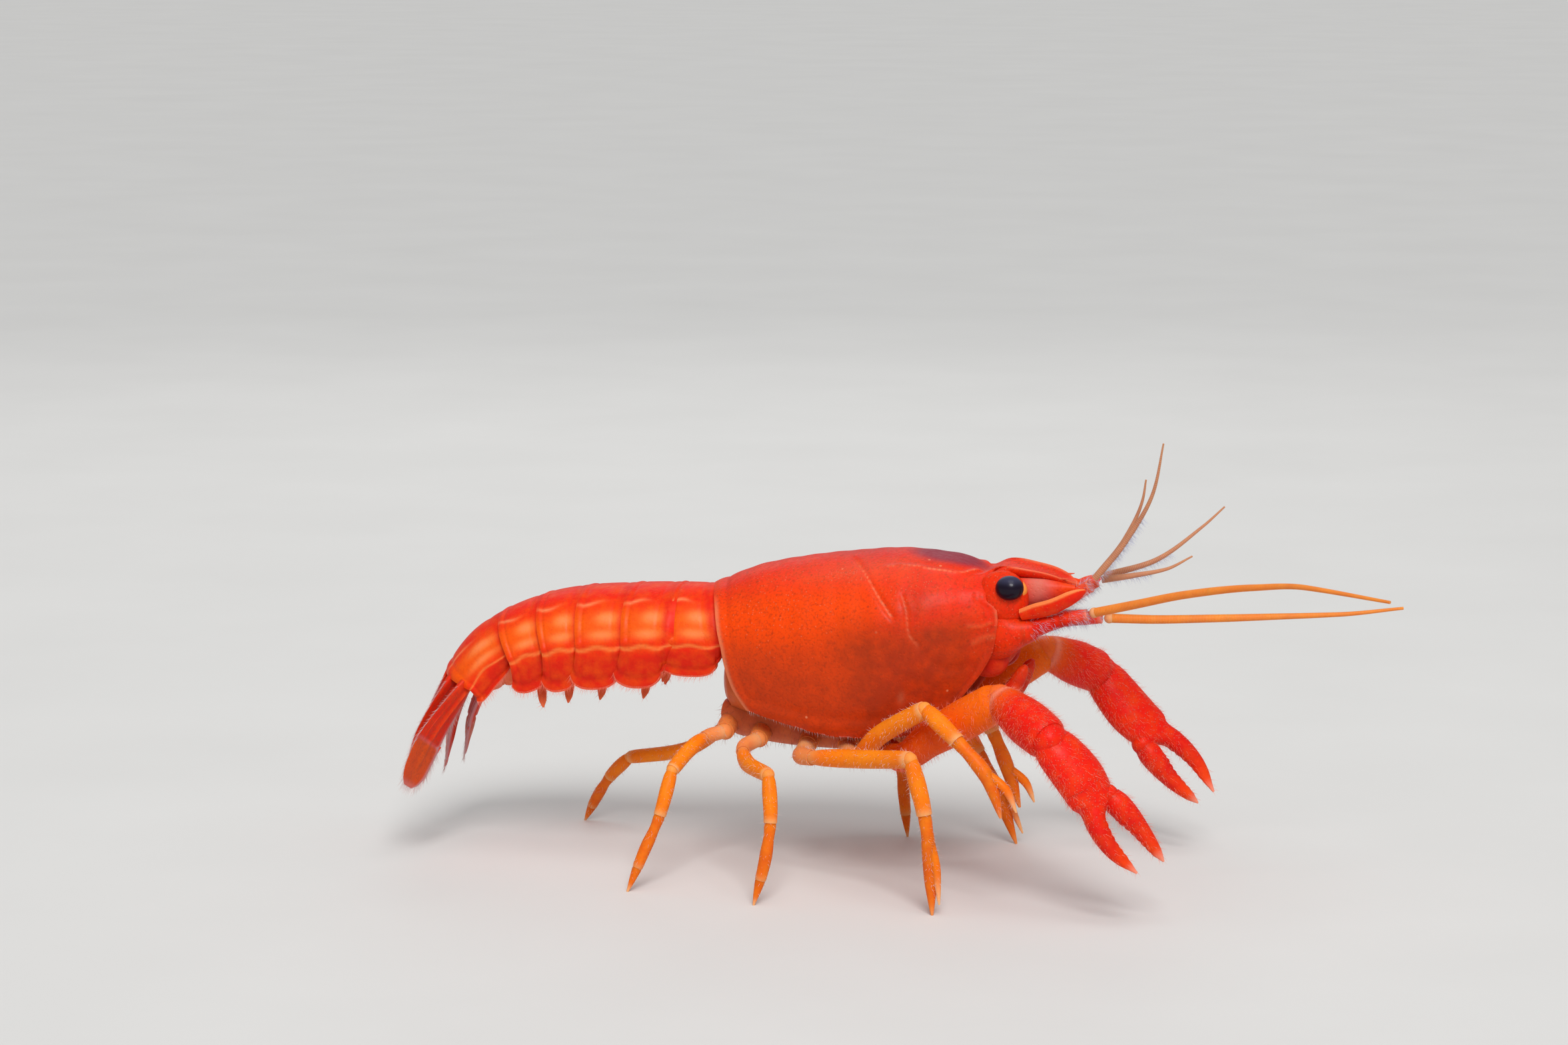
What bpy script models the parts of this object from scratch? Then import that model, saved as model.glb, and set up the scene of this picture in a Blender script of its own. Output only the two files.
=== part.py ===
"""A dwarf orange crayfish that stands on its walking legs, as a still, life-size model.

X runs forward along the body, +Y is the animal's left, and z = 0 is the surface that its feet rest on.
Sizes and places are in millimetres here, and MM turns them into Blender's metres.
Every piece is a loft: a row of closed rings. The shell and the tail are lofted from outlines of the
body, and the limbs and feelers are tubes along a smooth route through their joints.
"""

import math

import bmesh
import bpy
import numpy as np

MM = 0.001
GAP = 0.3  # clear space between a piece and the one that it grows from
SIDES = {"right": -1.0, "left": 1.0}
AHEAD, LEFT, DOWN = (1.0, 0.0, 0.0), (0.0, 1.0, 0.0), (0.0, 0.0, -1.0)

# Shell of the head and back. Outlines are (x, z) seen from the side, or (x, half width) from above.
SHELL_BACK = (
    (-8.7, 13.65), (-6.3, 14.65), (-4.2, 15.1), (-2.1, 15.4), (0.6, 15.66), (2.5, 15.53), (3.8, 15.29),
    (4.8, 15.13), (5.6, 15.0),
)
SHELL_MARGIN = ((-6.4, 8.1), (-4.3, 7.6), (-1.8, 7.15), (0.5, 7.2), (2.5, 7.8), (3.4, 8.4), (5.6, 9.6))
SHELL_HALF_WIDTH = (
    (-8.7, 2.95), (-6.0, 3.6), (-3.0, 4.05), (0.0, 4.1), (2.2, 3.7), (3.8, 3.15), (5.6, 2.4),
)
SHELL_MIDDLE = ((-8.7, 11.0), (-3.0, 11.2), (1.0, 11.6), (5.6, 12.5))  # height where it is widest
SHELL_TURN = math.radians(125.0)  # from the middle of the back round to the lower margin
SHELL_SQUARENESS = ((0.0, 0.92), (3.5, 0.7))  # the head is flatter on top than the back
# Along its own edge the shell ends where these say: (share of the turn, x).
SHELL_REAR = ((0.0, -8.7), (0.45, -8.0), (0.7, -7.6), (0.88, -7.1), (1.0, -6.4))
SHELL_FRONT = (
    (0.0, 5.6), (0.22, 5.45), (0.34, 4.95), (0.46, 5.0), (0.56, 5.5), (0.68, 5.55), (0.8, 5.4),
    (0.88, 4.9), (1.0, 3.3),
)
FLANGE = 0.45  # thickness of the shell's free lower edge
EDGE_SHARES = (1.0, 0.955, 0.91, 0.865)  # where the section is finer, along the lower rim
UNDERSIDE_RISE = 1.0  # how far the shell's hollow underside lies above its margin
SHELL_RADIUS = 4.0  # about, in the middle
MARGIN_RIM_END = 3.0  # ahead of this x the lower edge has no rim
REAR_STEPS = (0.0, 0.25, 0.5, 0.75, 1.0, 1.4)  # stations in front of the rear edge
GROOVE_STEPS = (-0.55, -0.25, 0.0, 0.25, 0.55)  # stations about the neck groove
PLAIN_STEPS = 9  # stations over each smooth stretch between those

NECK_GROOVE = (
    (0.0, -1.95), (0.24, -1.05), (0.38, -0.4), (0.47, 0.05), (0.58, 0.7), (0.66, 1.6), (0.74, 2.3),
    (0.82, 3.2), (1.0, 5.2),
)
NECK_GROOVE_DEPTH = 0.2
NECK_GROOVE_WIDTH = 0.34
RIM_DEPTH = 0.14  # of the furrow behind the raised rim
RIM_INSET = 0.75
RIM_WIDTH = 0.28

# The beak, or rostrum: its raised edges, its half width and its thickness, along x. Its root is sunk.
BEAK_EDGE = ((4.6, 15.02), (5.1, 15.2), (5.7, 15.27), (6.85, 15.12), (7.6, 14.97), (8.3, 14.7), (9.0, 14.3))
BEAK_HALF_WIDTH = (
    (4.6, 1.35), (5.6, 1.32), (7.2, 1.12), (8.2, 0.86), (8.45, 0.62), (8.75, 0.3), (9.0, 0.08),
)
BEAK_THICKNESS = ((4.6, 1.1), (6.5, 0.7), (8.4, 0.45), (9.0, 0.2))
BEAK_TROUGH = 0.28
BEAK_ACROSS = (-1.0, -0.72, -0.35, 0.0, 0.35, 0.72, 1.0)  # points over its top, as shares of its half width
BEAK_KEEL_HALF = 0.7  # of its underside, as a share of its half width
BEAK_KEEL = 0.12  # how far the middle of its underside hangs
BEAK_STATIONS = 15
BEAK_SPINE = (8.25, 0.76, 14.64)
SPINE_ROOT, SPINE_POINT = (-0.7, 0.05, -0.05), (0.25, 0.02, -0.05)  # from that place
SPINE_WIDTHS = ((0.0, 0.2), (0.6, 0.16), (1.0, 0.05))
BROW_RIDGE = ((0.9, 1.75, 14.93), (2.4, 1.75, 14.88), (3.9, 1.6, 14.84))  # behind each eye
BROW_WIDTHS = ((0.0, 0.1), (0.5, 0.2), (0.85, 0.18), (1.0, 0.06))

# Tail: lengths run along the middle of its back, from the shell rearwards.
TAIL_BACK = (
    (-8.7, 13.6), (-10.5, 13.55), (-12.7, 13.42), (-15.1, 13.2), (-16.3, 12.98), (-17.3, 12.7),
    (-18.8, 12.1), (-20.6, 11.0), (-21.7, 9.75), (-22.15, 8.9), (-22.4, 7.8),
)
SEGMENT_ENDS = (0.0, 1.78, 4.02, 6.42, 8.62, 10.85, 15.0)
SHELL_CLEARANCE = 0.45  # from the shell's rear edge along the back, which is more than its slanting gap
SEGMENT_HALF_WIDTH = (2.72, 3.0, 3.02, 2.95, 2.78, 2.42)
SEGMENT_LOBE = (4.1, 4.65, 4.65, 4.55, 4.1, 2.9)  # depth of the side lobes under the back
SEGMENT_CORE = (2.5, 2.5, 2.5, 2.45, 2.3, 1.9)  # depth where a segment is widest
LOBE_NOTCH = 0.84  # depth between two lobes, as a share of the lobe's
BELLY_DEPTH = (3.1, 3.15, 3.15, 3.1, 2.9, 2.3)
LOBE_THICKNESS = 0.55
ARCH_SHARE = 0.68  # of a segment's section is arched, and the rest hangs down as its lobe
LOBE_LEAN = 0.35  # how far a lobe sweeps back
FRONT_SWELL = 0.05  # a segment is this share narrower in front
# Each segment has a pair of paddles: where one leaves its belly, and its length and sweep.
PADDLE_ROOT_DEPTH, PADDLE_ROOT_SIDE = -0.55, 1.35
PADDLE_LENGTH, PADDLE_SWEEP, PADDLE_SPREAD = 2.4, 0.5, 0.45
PADDLE_WIDTHS = ((0.0, 0.3), (0.45, 0.42), (0.8, 0.36), (1.0, 0.12))
PADDLE_HEIGHTS = ((0.0, 0.26), (0.6, 0.26), (1.0, 0.12))

# Tail fan: root, tip, and half width along the blade.
TELSON = {"root": (-21.95, 0.0, 8.5), "tip": (-23.65, 0.0, 3.65)}
INNER_BLADE = {"root": (-21.6, 1.5, 8.32), "tip": (-23.3, 2.5, 3.5)}
OUTER_BLADE = {"root": (-20.9, 2.15, 8.1), "tip": (-22.9, 4.3, 3.8)}
BLADE_HALF_WIDTH = ((0.0, 0.5), (0.3, 0.9), (0.6, 1.05), (0.85, 0.95), (0.95, 0.7), (1.0, 0.36))
BLADE_TILT = -0.35  # each blade's inner edge lies under its neighbour
TELSON_HALF_WIDTH = ((0.0, 1.2), (0.3, 1.3), (0.62, 1.25), (0.8, 1.12), (0.93, 0.85), (1.0, 0.45))
BLADE_THICKNESS = ((0.0, 0.3), (0.25, 0.25), (0.9, 0.25), (1.0, 0.14))  # half of it
BLADE_ARCH = (-0.25, 0.0, 0.0)  # how far the middle of a blade stands back

EYE_CENTRE = (6.1, 2.3, 14.4)
EYE_RADII = (0.66, 0.56, 0.58)  # along the body, through the eye from its stalk, and up
EYE_FLAT = math.radians(38.0)  # the eye ends this far from its pole, where it meets its stalk

COLOURS = {
    "shell": (0.75, 0.09, 0.015),
    "tail": (0.8, 0.13, 0.02),
    "fan": (0.72, 0.03, 0.015),
    "leg": (0.8, 0.2, 0.03),
    "claw": (0.75, 0.03, 0.015),
    "feeler": (0.6, 0.22, 0.06),
    "eye": (0.004, 0.005, 0.012),
    "mouth": (0.3, 0.07, 0.035),
}


def profile(points, at):
    """The smooth curve through (place, value) points: level past its ends, no overshoot between them."""
    places, values = np.array(points, float).T
    steps = np.diff(places)
    slopes = np.diff(values) / steps
    product = slopes[:-1] * slopes[1:]
    total = np.where(product > 0, slopes[:-1] + slopes[1:], 1.0)
    inner = np.where(product > 0, 2.0 * product / total, 0.0)
    tangents = np.concatenate([slopes[:1], inner, slopes[-1:]])
    at = np.clip(at, places[0], places[-1])
    cell = np.clip(np.searchsorted(places, at, side="right") - 1, 0, len(steps) - 1)
    width = steps[cell]
    t = (at - places[cell]) / width
    start = (1.0 + 2.0 * t) * (1.0 - t) ** 2 * values[cell] + t * (1.0 - t) ** 2 * width * tangents[cell]
    end = t * t * (3.0 - 2.0 * t) * values[cell + 1] + t * t * (t - 1.0) * width * tangents[cell + 1]
    return start + end


def unit(vector):
    vector = np.asarray(vector, float)
    return vector / np.linalg.norm(vector)


def mirrored(point, side):
    """A place given for the left side, moved to this side."""
    return (point[0], point[1] * side, point[2])


def route(joints, places):
    """Points of the smooth line through the joints, at these shares of its length."""
    joints = np.array(joints, float)
    along = np.concatenate([[0.0], np.cumsum(np.linalg.norm(np.diff(joints, axis=0), axis=1))])
    share = along / along[-1]
    return np.stack([profile(list(zip(share, joints[:, k])), places) for k in range(3)], axis=1)


def material(name):
    found = bpy.data.materials.get(name)
    if found:
        return found
    made = bpy.data.materials.new(name)
    made.use_nodes = True
    shader = made.node_tree.nodes["Principled BSDF"]
    shader.inputs["Base Color"].default_value = (*COLOURS[name], 1.0)
    shader.inputs["Roughness"].default_value = 0.12 if name == "eye" else 0.35
    return made


def closed_mesh(name, rings):
    """A closed mesh from a row of rings, with a fan of triangles over each end."""
    rings = np.asarray(rings, float) * MM
    count, size = rings.shape[:2]
    mesh = bpy.data.meshes.new(name)
    built = bmesh.new()
    verts = [[built.verts.new(point) for point in ring] for ring in rings]
    for first, second in zip(verts[:-1], verts[1:]):
        for i in range(size):
            j = (i + 1) % size
            built.faces.new((first[i], first[j], second[j], second[i]))
    for ring, points in ((verts[0], rings[0]), (verts[-1], rings[-1])):
        centre = built.verts.new(points.mean(axis=0))
        for i in range(size):
            built.faces.new((ring[i], ring[(i + 1) % size], centre))
    bmesh.ops.recalc_face_normals(built, faces=built.faces)
    built.to_mesh(mesh)
    built.free()
    return mesh


def add(name, finish, rings):
    """One piece of the body, smooth where it is round."""
    mesh = closed_mesh(name, rings)
    mesh.shade_smooth()
    mesh.set_sharp_from_angle(angle=math.radians(40.0))
    mesh.materials.append(material(finish))
    piece = bpy.data.objects.new(name, mesh)
    bpy.context.scene.collection.objects.link(piece)
    return piece


def keep_largest(piece):
    """Drops all but the largest closed surface of a mesh."""
    built = bmesh.new()
    built.from_mesh(piece.data)
    left = set(built.verts)
    groups = []
    while left:
        group = {left.pop()}
        edge = list(group)
        while edge:
            vert = edge.pop()
            for link in vert.link_edges:
                other = link.other_vert(vert)
                if other in left:
                    left.discard(other)
                    group.add(other)
                    edge.append(other)
        groups.append(group)
    groups.sort(key=len)
    for group in groups[:-1]:
        bmesh.ops.delete(built, geom=list(group), context="VERTS")
    built.to_mesh(piece.data)
    built.free()


def fuse(piece, parts):
    """Joins the parts to the piece in one Boolean union and removes them."""
    tools = bpy.data.collections.new(piece.name + "_parts")
    bpy.context.scene.collection.children.link(tools)
    for part in parts:
        bpy.context.scene.collection.objects.unlink(part)
        tools.objects.link(part)
    union = piece.modifiers.new("union", "BOOLEAN")
    union.operation = "UNION"
    union.operand_type = "COLLECTION"
    union.collection = tools
    union.solver = "MANIFOLD"
    bpy.context.view_layer.update()
    graph = bpy.context.evaluated_depsgraph_get()
    joined = bpy.data.meshes.new_from_object(piece.evaluated_get(graph))
    piece.modifiers.remove(union)
    piece.data = joined
    for part in parts:
        bpy.data.objects.remove(part)
    bpy.data.collections.remove(tools)
    keep_largest(piece)
    return piece


def tube(joints, widths, heights, wide=LEFT, sides=8, stations=8, start=None, end=None, bow=0.0):
    """Rings of a limb along the line through its joints.

    widths and heights are (share, half size) across and along the third direction. start and end are
    the normals of its end faces, which are square to the line where none is given. bow bends a flat
    section into a trough.
    """
    places = 0.5 - 0.5 * np.cos(np.linspace(0.0, math.pi, stations))
    line = route(joints, places)
    forward = np.gradient(line, places, axis=0)
    turn = np.linspace(0.0, 2.0 * math.pi, sides, endpoint=False)
    length = np.linalg.norm(np.diff(line, axis=0), axis=1).sum()
    rings = []
    for place, centre, ahead in zip(places, line, forward):
        ahead = unit(ahead)
        across = unit(np.asarray(wide) - ahead * np.dot(wide, ahead))
        up = np.cross(ahead, across)
        half, high = profile(widths, place), profile(heights, place)
        lift = -bow * np.cos(turn) ** 2 * half
        ring = centre + np.outer(np.cos(turn) * half, across) + np.outer(np.sin(turn) * high + lift, up)
        for normal, away in ((start, place), (end, 1.0 - place)):
            if normal is None:
                continue
            share = max(0.0, 1.0 - away * length / (2.2 * max(half, high)))
            slope = (ring - centre) @ np.asarray(normal) / np.dot(ahead, normal)
            ring = ring - share * np.outer(slope, ahead)
        rings.append(ring)
    return np.array(rings)


def shortened(first, second, by):
    """The first point moved towards the second."""
    return tuple(np.asarray(first) + unit(np.subtract(second, first)) * by)


def shell_point(x, share):
    """A point of the shell at station x, from its right margin (-1) over the back (0) to the left (1)."""
    turn = np.abs(share) * SHELL_TURN
    half = profile(SHELL_HALF_WIDTH, x)
    top = profile(SHELL_BACK, x)
    middle = profile(SHELL_MIDDLE, x)
    low = profile(SHELL_MARGIN, x)
    groove = np.exp(-(((x - profile(NECK_GROOVE, np.abs(share))) / NECK_GROOVE_WIDTH) ** 2))
    from_rear = x - profile(SHELL_REAR, np.abs(share))
    from_margin = (1.0 - np.abs(share)) * SHELL_TURN * SHELL_RADIUS
    inset = np.where(x < MARGIN_RIM_END, np.minimum(from_rear, from_margin), from_rear)
    rim = np.exp(-(((inset - RIM_INSET) / RIM_WIDTH) ** 2))
    sink = 1.0 - (NECK_GROOVE_DEPTH * groove + RIM_DEPTH * rim) / SHELL_RADIUS
    fall = np.where(turn < math.pi / 2, top - middle, (low - middle) / math.cos(SHELL_TURN))
    y = np.sign(share) * half * np.sin(turn) ** profile(SHELL_SQUARENESS, x) * sink
    z = middle + fall * np.cos(turn) * sink
    return np.stack([x, y, z], axis=-1)


def shell_stations(share):
    """The x of each ring at these shares of the turn, closer together at the rim and the neck groove."""
    rear, front = profile(SHELL_REAR, share), profile(SHELL_FRONT, share)
    groove = np.minimum(profile(NECK_GROOVE, share), front - 2.0 * GROOVE_STEPS[-1])
    plain = np.linspace(0.0, 1.0, PLAIN_STEPS)[1:]
    first = [rear + step for step in REAR_STEPS]
    before = [groove + step for step in GROOVE_STEPS]
    back = [first[-1] + (before[0] - first[-1]) * part for part in plain[:-1]]
    head = [before[-1] + (front - before[-1]) * part for part in plain]
    return first + back + before + head


def shell_shares():
    half = np.concatenate([EDGE_SHARES, np.linspace(0.8, 0.0, 10)])
    return np.concatenate([-half, half[-2::-1]])


def shell_rings():
    share = shell_shares()
    rings = []
    for x in shell_stations(np.abs(share)):
        outer = shell_point(x, share)
        right, left = outer[0], outer[-1]
        rise = np.array([0.0, 0.0, UNDERSIDE_RISE])
        inwards = np.array([0.0, FLANGE, 0.0])
        inner = [
            left - inwards,
            left - 1.7 * inwards + rise,
            (left + right) / 2.0 + 1.15 * rise,
            right + 1.7 * inwards + rise,
            right + inwards,
        ]
        rings.append(np.concatenate([outer, inner]))
    return np.array(rings)


def make_shell():
    shell = add("carapace", "shell", shell_rings())
    beak = []
    across = np.array(BEAK_ACROSS)
    for x in np.linspace(BEAK_HALF_WIDTH[0][0], BEAK_HALF_WIDTH[-1][0], BEAK_STATIONS):
        half, edge = profile(BEAK_HALF_WIDTH, x), profile(BEAK_EDGE, x)
        top = edge - BEAK_TROUGH * min(1.0, half) * (1.0 - across**2)
        upper = np.stack([np.full(len(across), x), across * half, top], axis=1)
        low, inset = edge - profile(BEAK_THICKNESS, x), half * BEAK_KEEL_HALF
        lower = [(x, inset, low), (x, 0.0, low - BEAK_KEEL), (x, -inset, low)]
        beak.append(np.concatenate([upper, lower]))
    parts = [add("beak", "shell", beak)]
    for name, side in SIDES.items():
        ends = [mirrored(np.add(BEAK_SPINE, step), side) for step in (SPINE_ROOT, SPINE_POINT)]
        spine = tube(ends, SPINE_WIDTHS, SPINE_WIDTHS, sides=6, stations=4)
        parts.append(add("beak_spine_" + name, "shell", spine))
        ridge = [mirrored(point, side) for point in BROW_RIDGE]
        ridge = tube(ridge, BROW_WIDTHS, BROW_WIDTHS, stations=6)
        parts.append(add("brow_ridge_" + name, "shell", ridge))
    return fuse(shell, parts)


def tail_frame(length):
    """The point on the back at this length from the shell, and the directions back and down there."""
    points = np.array(TAIL_BACK)
    along = np.concatenate([[0.0], np.cumsum(np.linalg.norm(np.diff(points, axis=0), axis=1))])
    xs, zs = list(zip(along, points[:, 0])), list(zip(along, points[:, 1]))
    step = 0.6
    point = np.array([profile(xs, length), 0.0, profile(zs, length)])
    before, after = length - step, length + step
    back = unit([profile(xs, after) - profile(xs, before), 0.0, profile(zs, after) - profile(zs, before)])
    down = np.array([-back[2], 0.0, back[0]])
    return point, back, down


def shell_edge_at(height):
    """The x of the shell's rear edge at these heights."""
    share = np.linspace(1.0, 0.0, 21)
    edge = shell_point(profile(SHELL_REAR, share), share)
    return np.interp(height, edge[:, 2], edge[:, 0])


def segment_rings(index, stations, around):
    """A tail segment: a plate arched over the back, with a rounded lobe hanging on each side."""
    first, last = SEGMENT_ENDS[index] + (GAP if index else SHELL_CLEARANCE), SEGMENT_ENDS[index + 1]
    half, core, lobe = SEGMENT_HALF_WIDTH[index], SEGMENT_CORE[index], SEGMENT_LOBE[index]
    share = np.linspace(-1.0, 1.0, around)
    turn = np.minimum(np.abs(share) / ARCH_SHARE, 1.0) * math.pi / 2
    drop = np.clip((np.abs(share) - ARCH_SHARE) / (1.0 - ARCH_SHARE), 0.0, 1.0)
    rings = []
    for place in 0.5 - 0.5 * np.cos(np.linspace(0.0, math.pi, stations)):
        point, back, down = tail_frame(first + (last - first) * place)
        swell = 1.0 - FRONT_SWELL * (1.0 - place) ** 2
        scallop = (1.0 - abs(2.0 * place - 1.0) ** 2.6) ** 0.6
        reach = lobe * (LOBE_NOTCH + (1.0 - LOBE_NOTCH) * scallop)
        across = np.sign(share) * half * swell * np.sin(turn) ** 0.9 * (1.0 - 0.1 * drop**2)
        depth = core * (1.0 - np.cos(turn)) + (reach - core) * drop + 0.12 * (1.0 - swell) * core
        lean = LOBE_LEAN * drop * (lobe / SEGMENT_LOBE[1])
        belly = BELLY_DEPTH[index]
        edge = abs(across[-1]) - LOBE_THICKNESS
        across = np.append(across, [edge, edge * 0.72, 0.0, -edge * 0.72, -edge])
        depth = np.append(depth, [reach - 0.1, belly, belly + 0.15, belly, reach - 0.1])
        lean = np.append(lean, [lean[-1], lean[-1] * 0.8, lean[-1] * 0.6, lean[-1] * 0.8, lean[-1]])
        ring = point + np.outer(depth, down) + np.outer(lean, back)
        ring[:, 1] += across
        if index == 0:
            ring[:, 0] += (1.0 - place) * (shell_edge_at(ring[:, 2]) - TAIL_BACK[0][0])
        rings.append(ring)
    return np.array(rings)


def make_segment(index):
    stations = 6 if index < 5 else 8
    segment = add(f"abdomen_{index + 1}", "tail", segment_rings(index, stations, 21))
    if not 1 <= index <= 4:
        return segment
    middle = (SEGMENT_ENDS[index] + SEGMENT_ENDS[index + 1]) / 2.0
    point, back, down = tail_frame(middle)
    paddles = []
    for name, side in SIDES.items():
        outward = np.array(LEFT) * side
        root = point + down * (BELLY_DEPTH[index] + PADDLE_ROOT_DEPTH) + outward * PADDLE_ROOT_SIDE
        tip = root + down * PADDLE_LENGTH + back * PADDLE_SWEEP + outward * PADDLE_SPREAD
        line = (root, (root + tip) / 2.0, tip)
        rings = tube(line, PADDLE_WIDTHS, PADDLE_HEIGHTS, wide=AHEAD, sides=6, stations=5)
        paddles.append(add(f"paddle_{name}", "tail", rings))
    return fuse(segment, paddles)


def make_fan():
    def blade(name, shape, widths, side, tilt):
        root, tip = mirrored(shape["root"], side), mirrored(shape["tip"], side)
        middle = (np.array(root) + np.array(tip)) / 2.0 + np.array(BLADE_ARCH)
        line = (root, middle, tip)
        add(name, "fan", tube(line, widths, BLADE_THICKNESS, wide=(tilt, side, 0.0), sides=12, bow=0.1))

    blade("telson", TELSON, TELSON_HALF_WIDTH, 1.0, 0.0)
    for name, side in SIDES.items():
        blade("uropod_inner_" + name, INNER_BLADE, BLADE_HALF_WIDTH, side, BLADE_TILT)
        blade("uropod_outer_" + name, OUTER_BLADE, BLADE_HALF_WIDTH, side, BLADE_TILT)


def make_keel():
    """The breastplate between the legs, with the stub that each leg grows from."""
    rings = []
    turn = np.linspace(0.0, 2.0 * math.pi, 14, endpoint=False)
    for x, half, low, high in KEEL:
        middle, tall = (low + high) / 2.0, (high - low) / 2.0
        y, z = half * np.cos(turn), middle + tall * np.sin(turn)
        rings.append(np.stack([np.full(len(turn), x), y, z], axis=1))
    keel = add("sternum", "mouth", rings)
    stubs = []
    for name, side in SIDES.items():
        for limb in LIMB_HIPS:
            taper = ((0.0, 0.5), (1.0, STUB_HALF if limb > 1 else ARM_STUB_HALF))
            rings = tube(stub_ends(limb, side), taper, taper, wide=AHEAD, stations=3)
            stubs.append(add(f"stub_{limb}_{name}", "mouth", rings))
    return fuse(keel, stubs)


# Where each limb leaves the breastplate, on the left side. 1 is the clawed arm, 2 to 5 are the legs.
LIMB_HIPS = {
    1: (0.2, 2.15, 6.5),
    2: (-1.7, 2.2, 6.45),
    3: (-3.6, 2.2, 6.45),
    4: (-6.0, 2.2, 6.6),
    5: (-7.7, 2.05, 6.85),
}
STUB_REACH = (-0.1, -1.5, 0.3)  # from a hip to the hidden end of the stub that it closes
STUB_HALF, ARM_STUB_HALF = 0.44, 0.56
# The breastplate along x: its half width, its lowest and its highest point.
KEEL = (
    (-8.2, 0.9, 6.9, 8.0), (-7.4, 1.35, 6.3, 8.3), (-4.0, 1.55, 5.95, 8.0), (-0.5, 1.5, 5.9, 7.8),
    (1.2, 1.2, 6.1, 7.8), (2.0, 0.8, 6.6, 7.8),
)

# Joints of the walking legs in this pose, on the right side (-Y) and on the left: the points of the
# upper leg down to the knee, then those of the lower leg down to its tip.
LEG_JOINTS = {
    ("right", 2): (
        ((-1.1, -3.4, 6.25), (0.6, -4.75, 7.7), (2.97, -6.0, 9.25)),
        ((4.95, -7.0, 7.8), (6.3, -7.3, 6.3), (6.85, -7.35, 4.65)),
    ),
    ("right", 3): (
        ((-3.6, -3.3, 6.2), (-0.6, -5.4, 6.6), (2.64, -7.4, 7.15)),
        ((3.3, -7.5, 4.7), (3.55, -7.55, 3.0), (3.75, -7.7, 0.0)),
    ),
    ("right", 4): (
        ((-6.4, -3.3, 6.4), (-5.75, -4.9, 5.95), (-4.2, -7.0, 5.95)),
        ((-3.95, -7.6, 3.9), (-4.1, -7.8, 2.4), (-4.65, -8.0, 0.0)),
    ),
    ("right", 5): (
        ((-8.4, -2.9, 6.7), (-8.85, -4.2, 6.3), (-9.3, -5.5, 5.58)),
        ((-9.65, -6.2, 3.7), (-10.4, -6.6, 1.75), (-11.05, -7.0, 0.0)),
    ),
    ("left", 2): (
        ((-1.1, 3.3, 6.25), (0.9, 4.5, 7.3), (2.6, 5.6, 7.9)),
        ((3.75, 6.0, 5.4), (4.4, 6.1, 3.7), (4.9, 6.15, 2.1)),
    ),
    ("left", 3): (
        ((-3.5, 3.4, 6.3), (-1.1, 5.1, 6.8), (1.4, 6.3, 7.1)),
        ((2.4, 6.6, 5.2), (3.5, 7.0, 2.9), (4.5, 7.3, 0.0)),
    ),
    ("left", 4): (
        ((-5.9, 3.5, 6.5), (-3.9, 5.0, 6.4), (-1.7, 6.3, 5.9)),
        ((-1.2, 6.7, 3.8), (-1.1, 7.0, 2.2), (-1.0, 7.4, 0.0)),
    ),
    ("left", 5): (
        ((-8.6, 2.8, 6.3), (-11.4, 3.8, 4.55), (-14.6, 5.0, 3.75)),
        ((-15.7, 5.6, 2.7), (-16.6, 6.2, 1.5), (-17.5, 6.8, 0.0)),
    ),
}
LEG_WIDTH = {2: 0.46, 3: 0.44, 4: 0.38, 5: 0.36}  # half the thickness of the upper leg
# Along each length of a leg, as shares of that. FOOT_HALF is of the small flat that a foot rests on.
UPPER_LEG = ((0.0, 0.92), (0.18, 0.95), (0.3, 0.86), (0.5, 1.0), (0.9, 0.95), (1.0, 0.8))
LOWER_LEG = ((0.0, 0.78), (0.15, 0.92), (0.36, 0.8), (0.46, 0.62), (0.6, 0.78), (0.76, 0.7))
LEG_WIDE = (1.0, 0.3, 0.0)
FOOT_HALF = 0.22
PINCER_TIP_HALF = 0.14
# Legs 2 and 3 end in a small pincer: how far its moving finger spreads, and how much shorter it is.
PINCER_SPREAD = {2: (0.75, 0.0, 0.2), 3: (0.36, 0.1, 0.0)}
PINCER_LIFT = {2: 0.0, 3: 0.35}
PINCER_WIDTHS = ((0.0, 0.22), (0.4, 0.25), (1.0, 0.12))
# The moving finger's hinge and its tip, as shares of the last stretch, and how far it bows out.
PINCER_HINGE, PINCER_SHORT, PINCER_BOW = 0.25, 0.06, 0.35

ARM_JOINTS = {
    "right": {
        "arm": ((1.1, -3.2, 6.3), (2.9, -4.35, 7.55), (6.3, -5.2, 9.7)),
        "wrist": (9.05, -7.4, 8.4),
        "axis": (0.64, -0.02, -0.77),
        "spread": (0.53, 0.67, 0.52),
        "length": 7.15,
    },
    "left": {
        "arm": ((1.1, 3.2, 6.3), (3.3, 4.35, 8.05), (6.33, 5.0, 10.15)),
        "wrist": (8.55, 7.3, 8.75),
        "axis": (0.66, -0.02, -0.75),
        "spread": (-0.5, -0.7, -0.5),
        "length": 7.95,
    },
}
ARM_WIDTHS = ((0.0, 0.55), (0.3, 0.72), (0.75, 0.95), (0.93, 0.92), (1.0, 0.74))
WRIST_WIDTHS = ((0.0, 0.72), (0.25, 0.9), (0.65, 1.08), (0.9, 1.04), (1.0, 0.9))
PALM_WIDTHS = (
    (0.0, 0.92), (0.1, 1.1), (0.28, 1.2), (0.42, 1.14), (0.485, 0.94), (0.52, 0.64), (0.57, 0.5),
    (0.7, 0.42), (0.86, 0.31), (1.0, 0.1),
)
PALM_HEIGHTS = ((0.0, 0.7), (0.15, 0.84), (0.3, 0.86), (0.5, 0.6), (0.7, 0.42), (1.0, 0.1))
FINGER_WIDTHS = ((0.0, 0.44), (0.12, 0.54), (0.5, 0.4), (0.85, 0.24), (1.0, 0.09))
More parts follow.
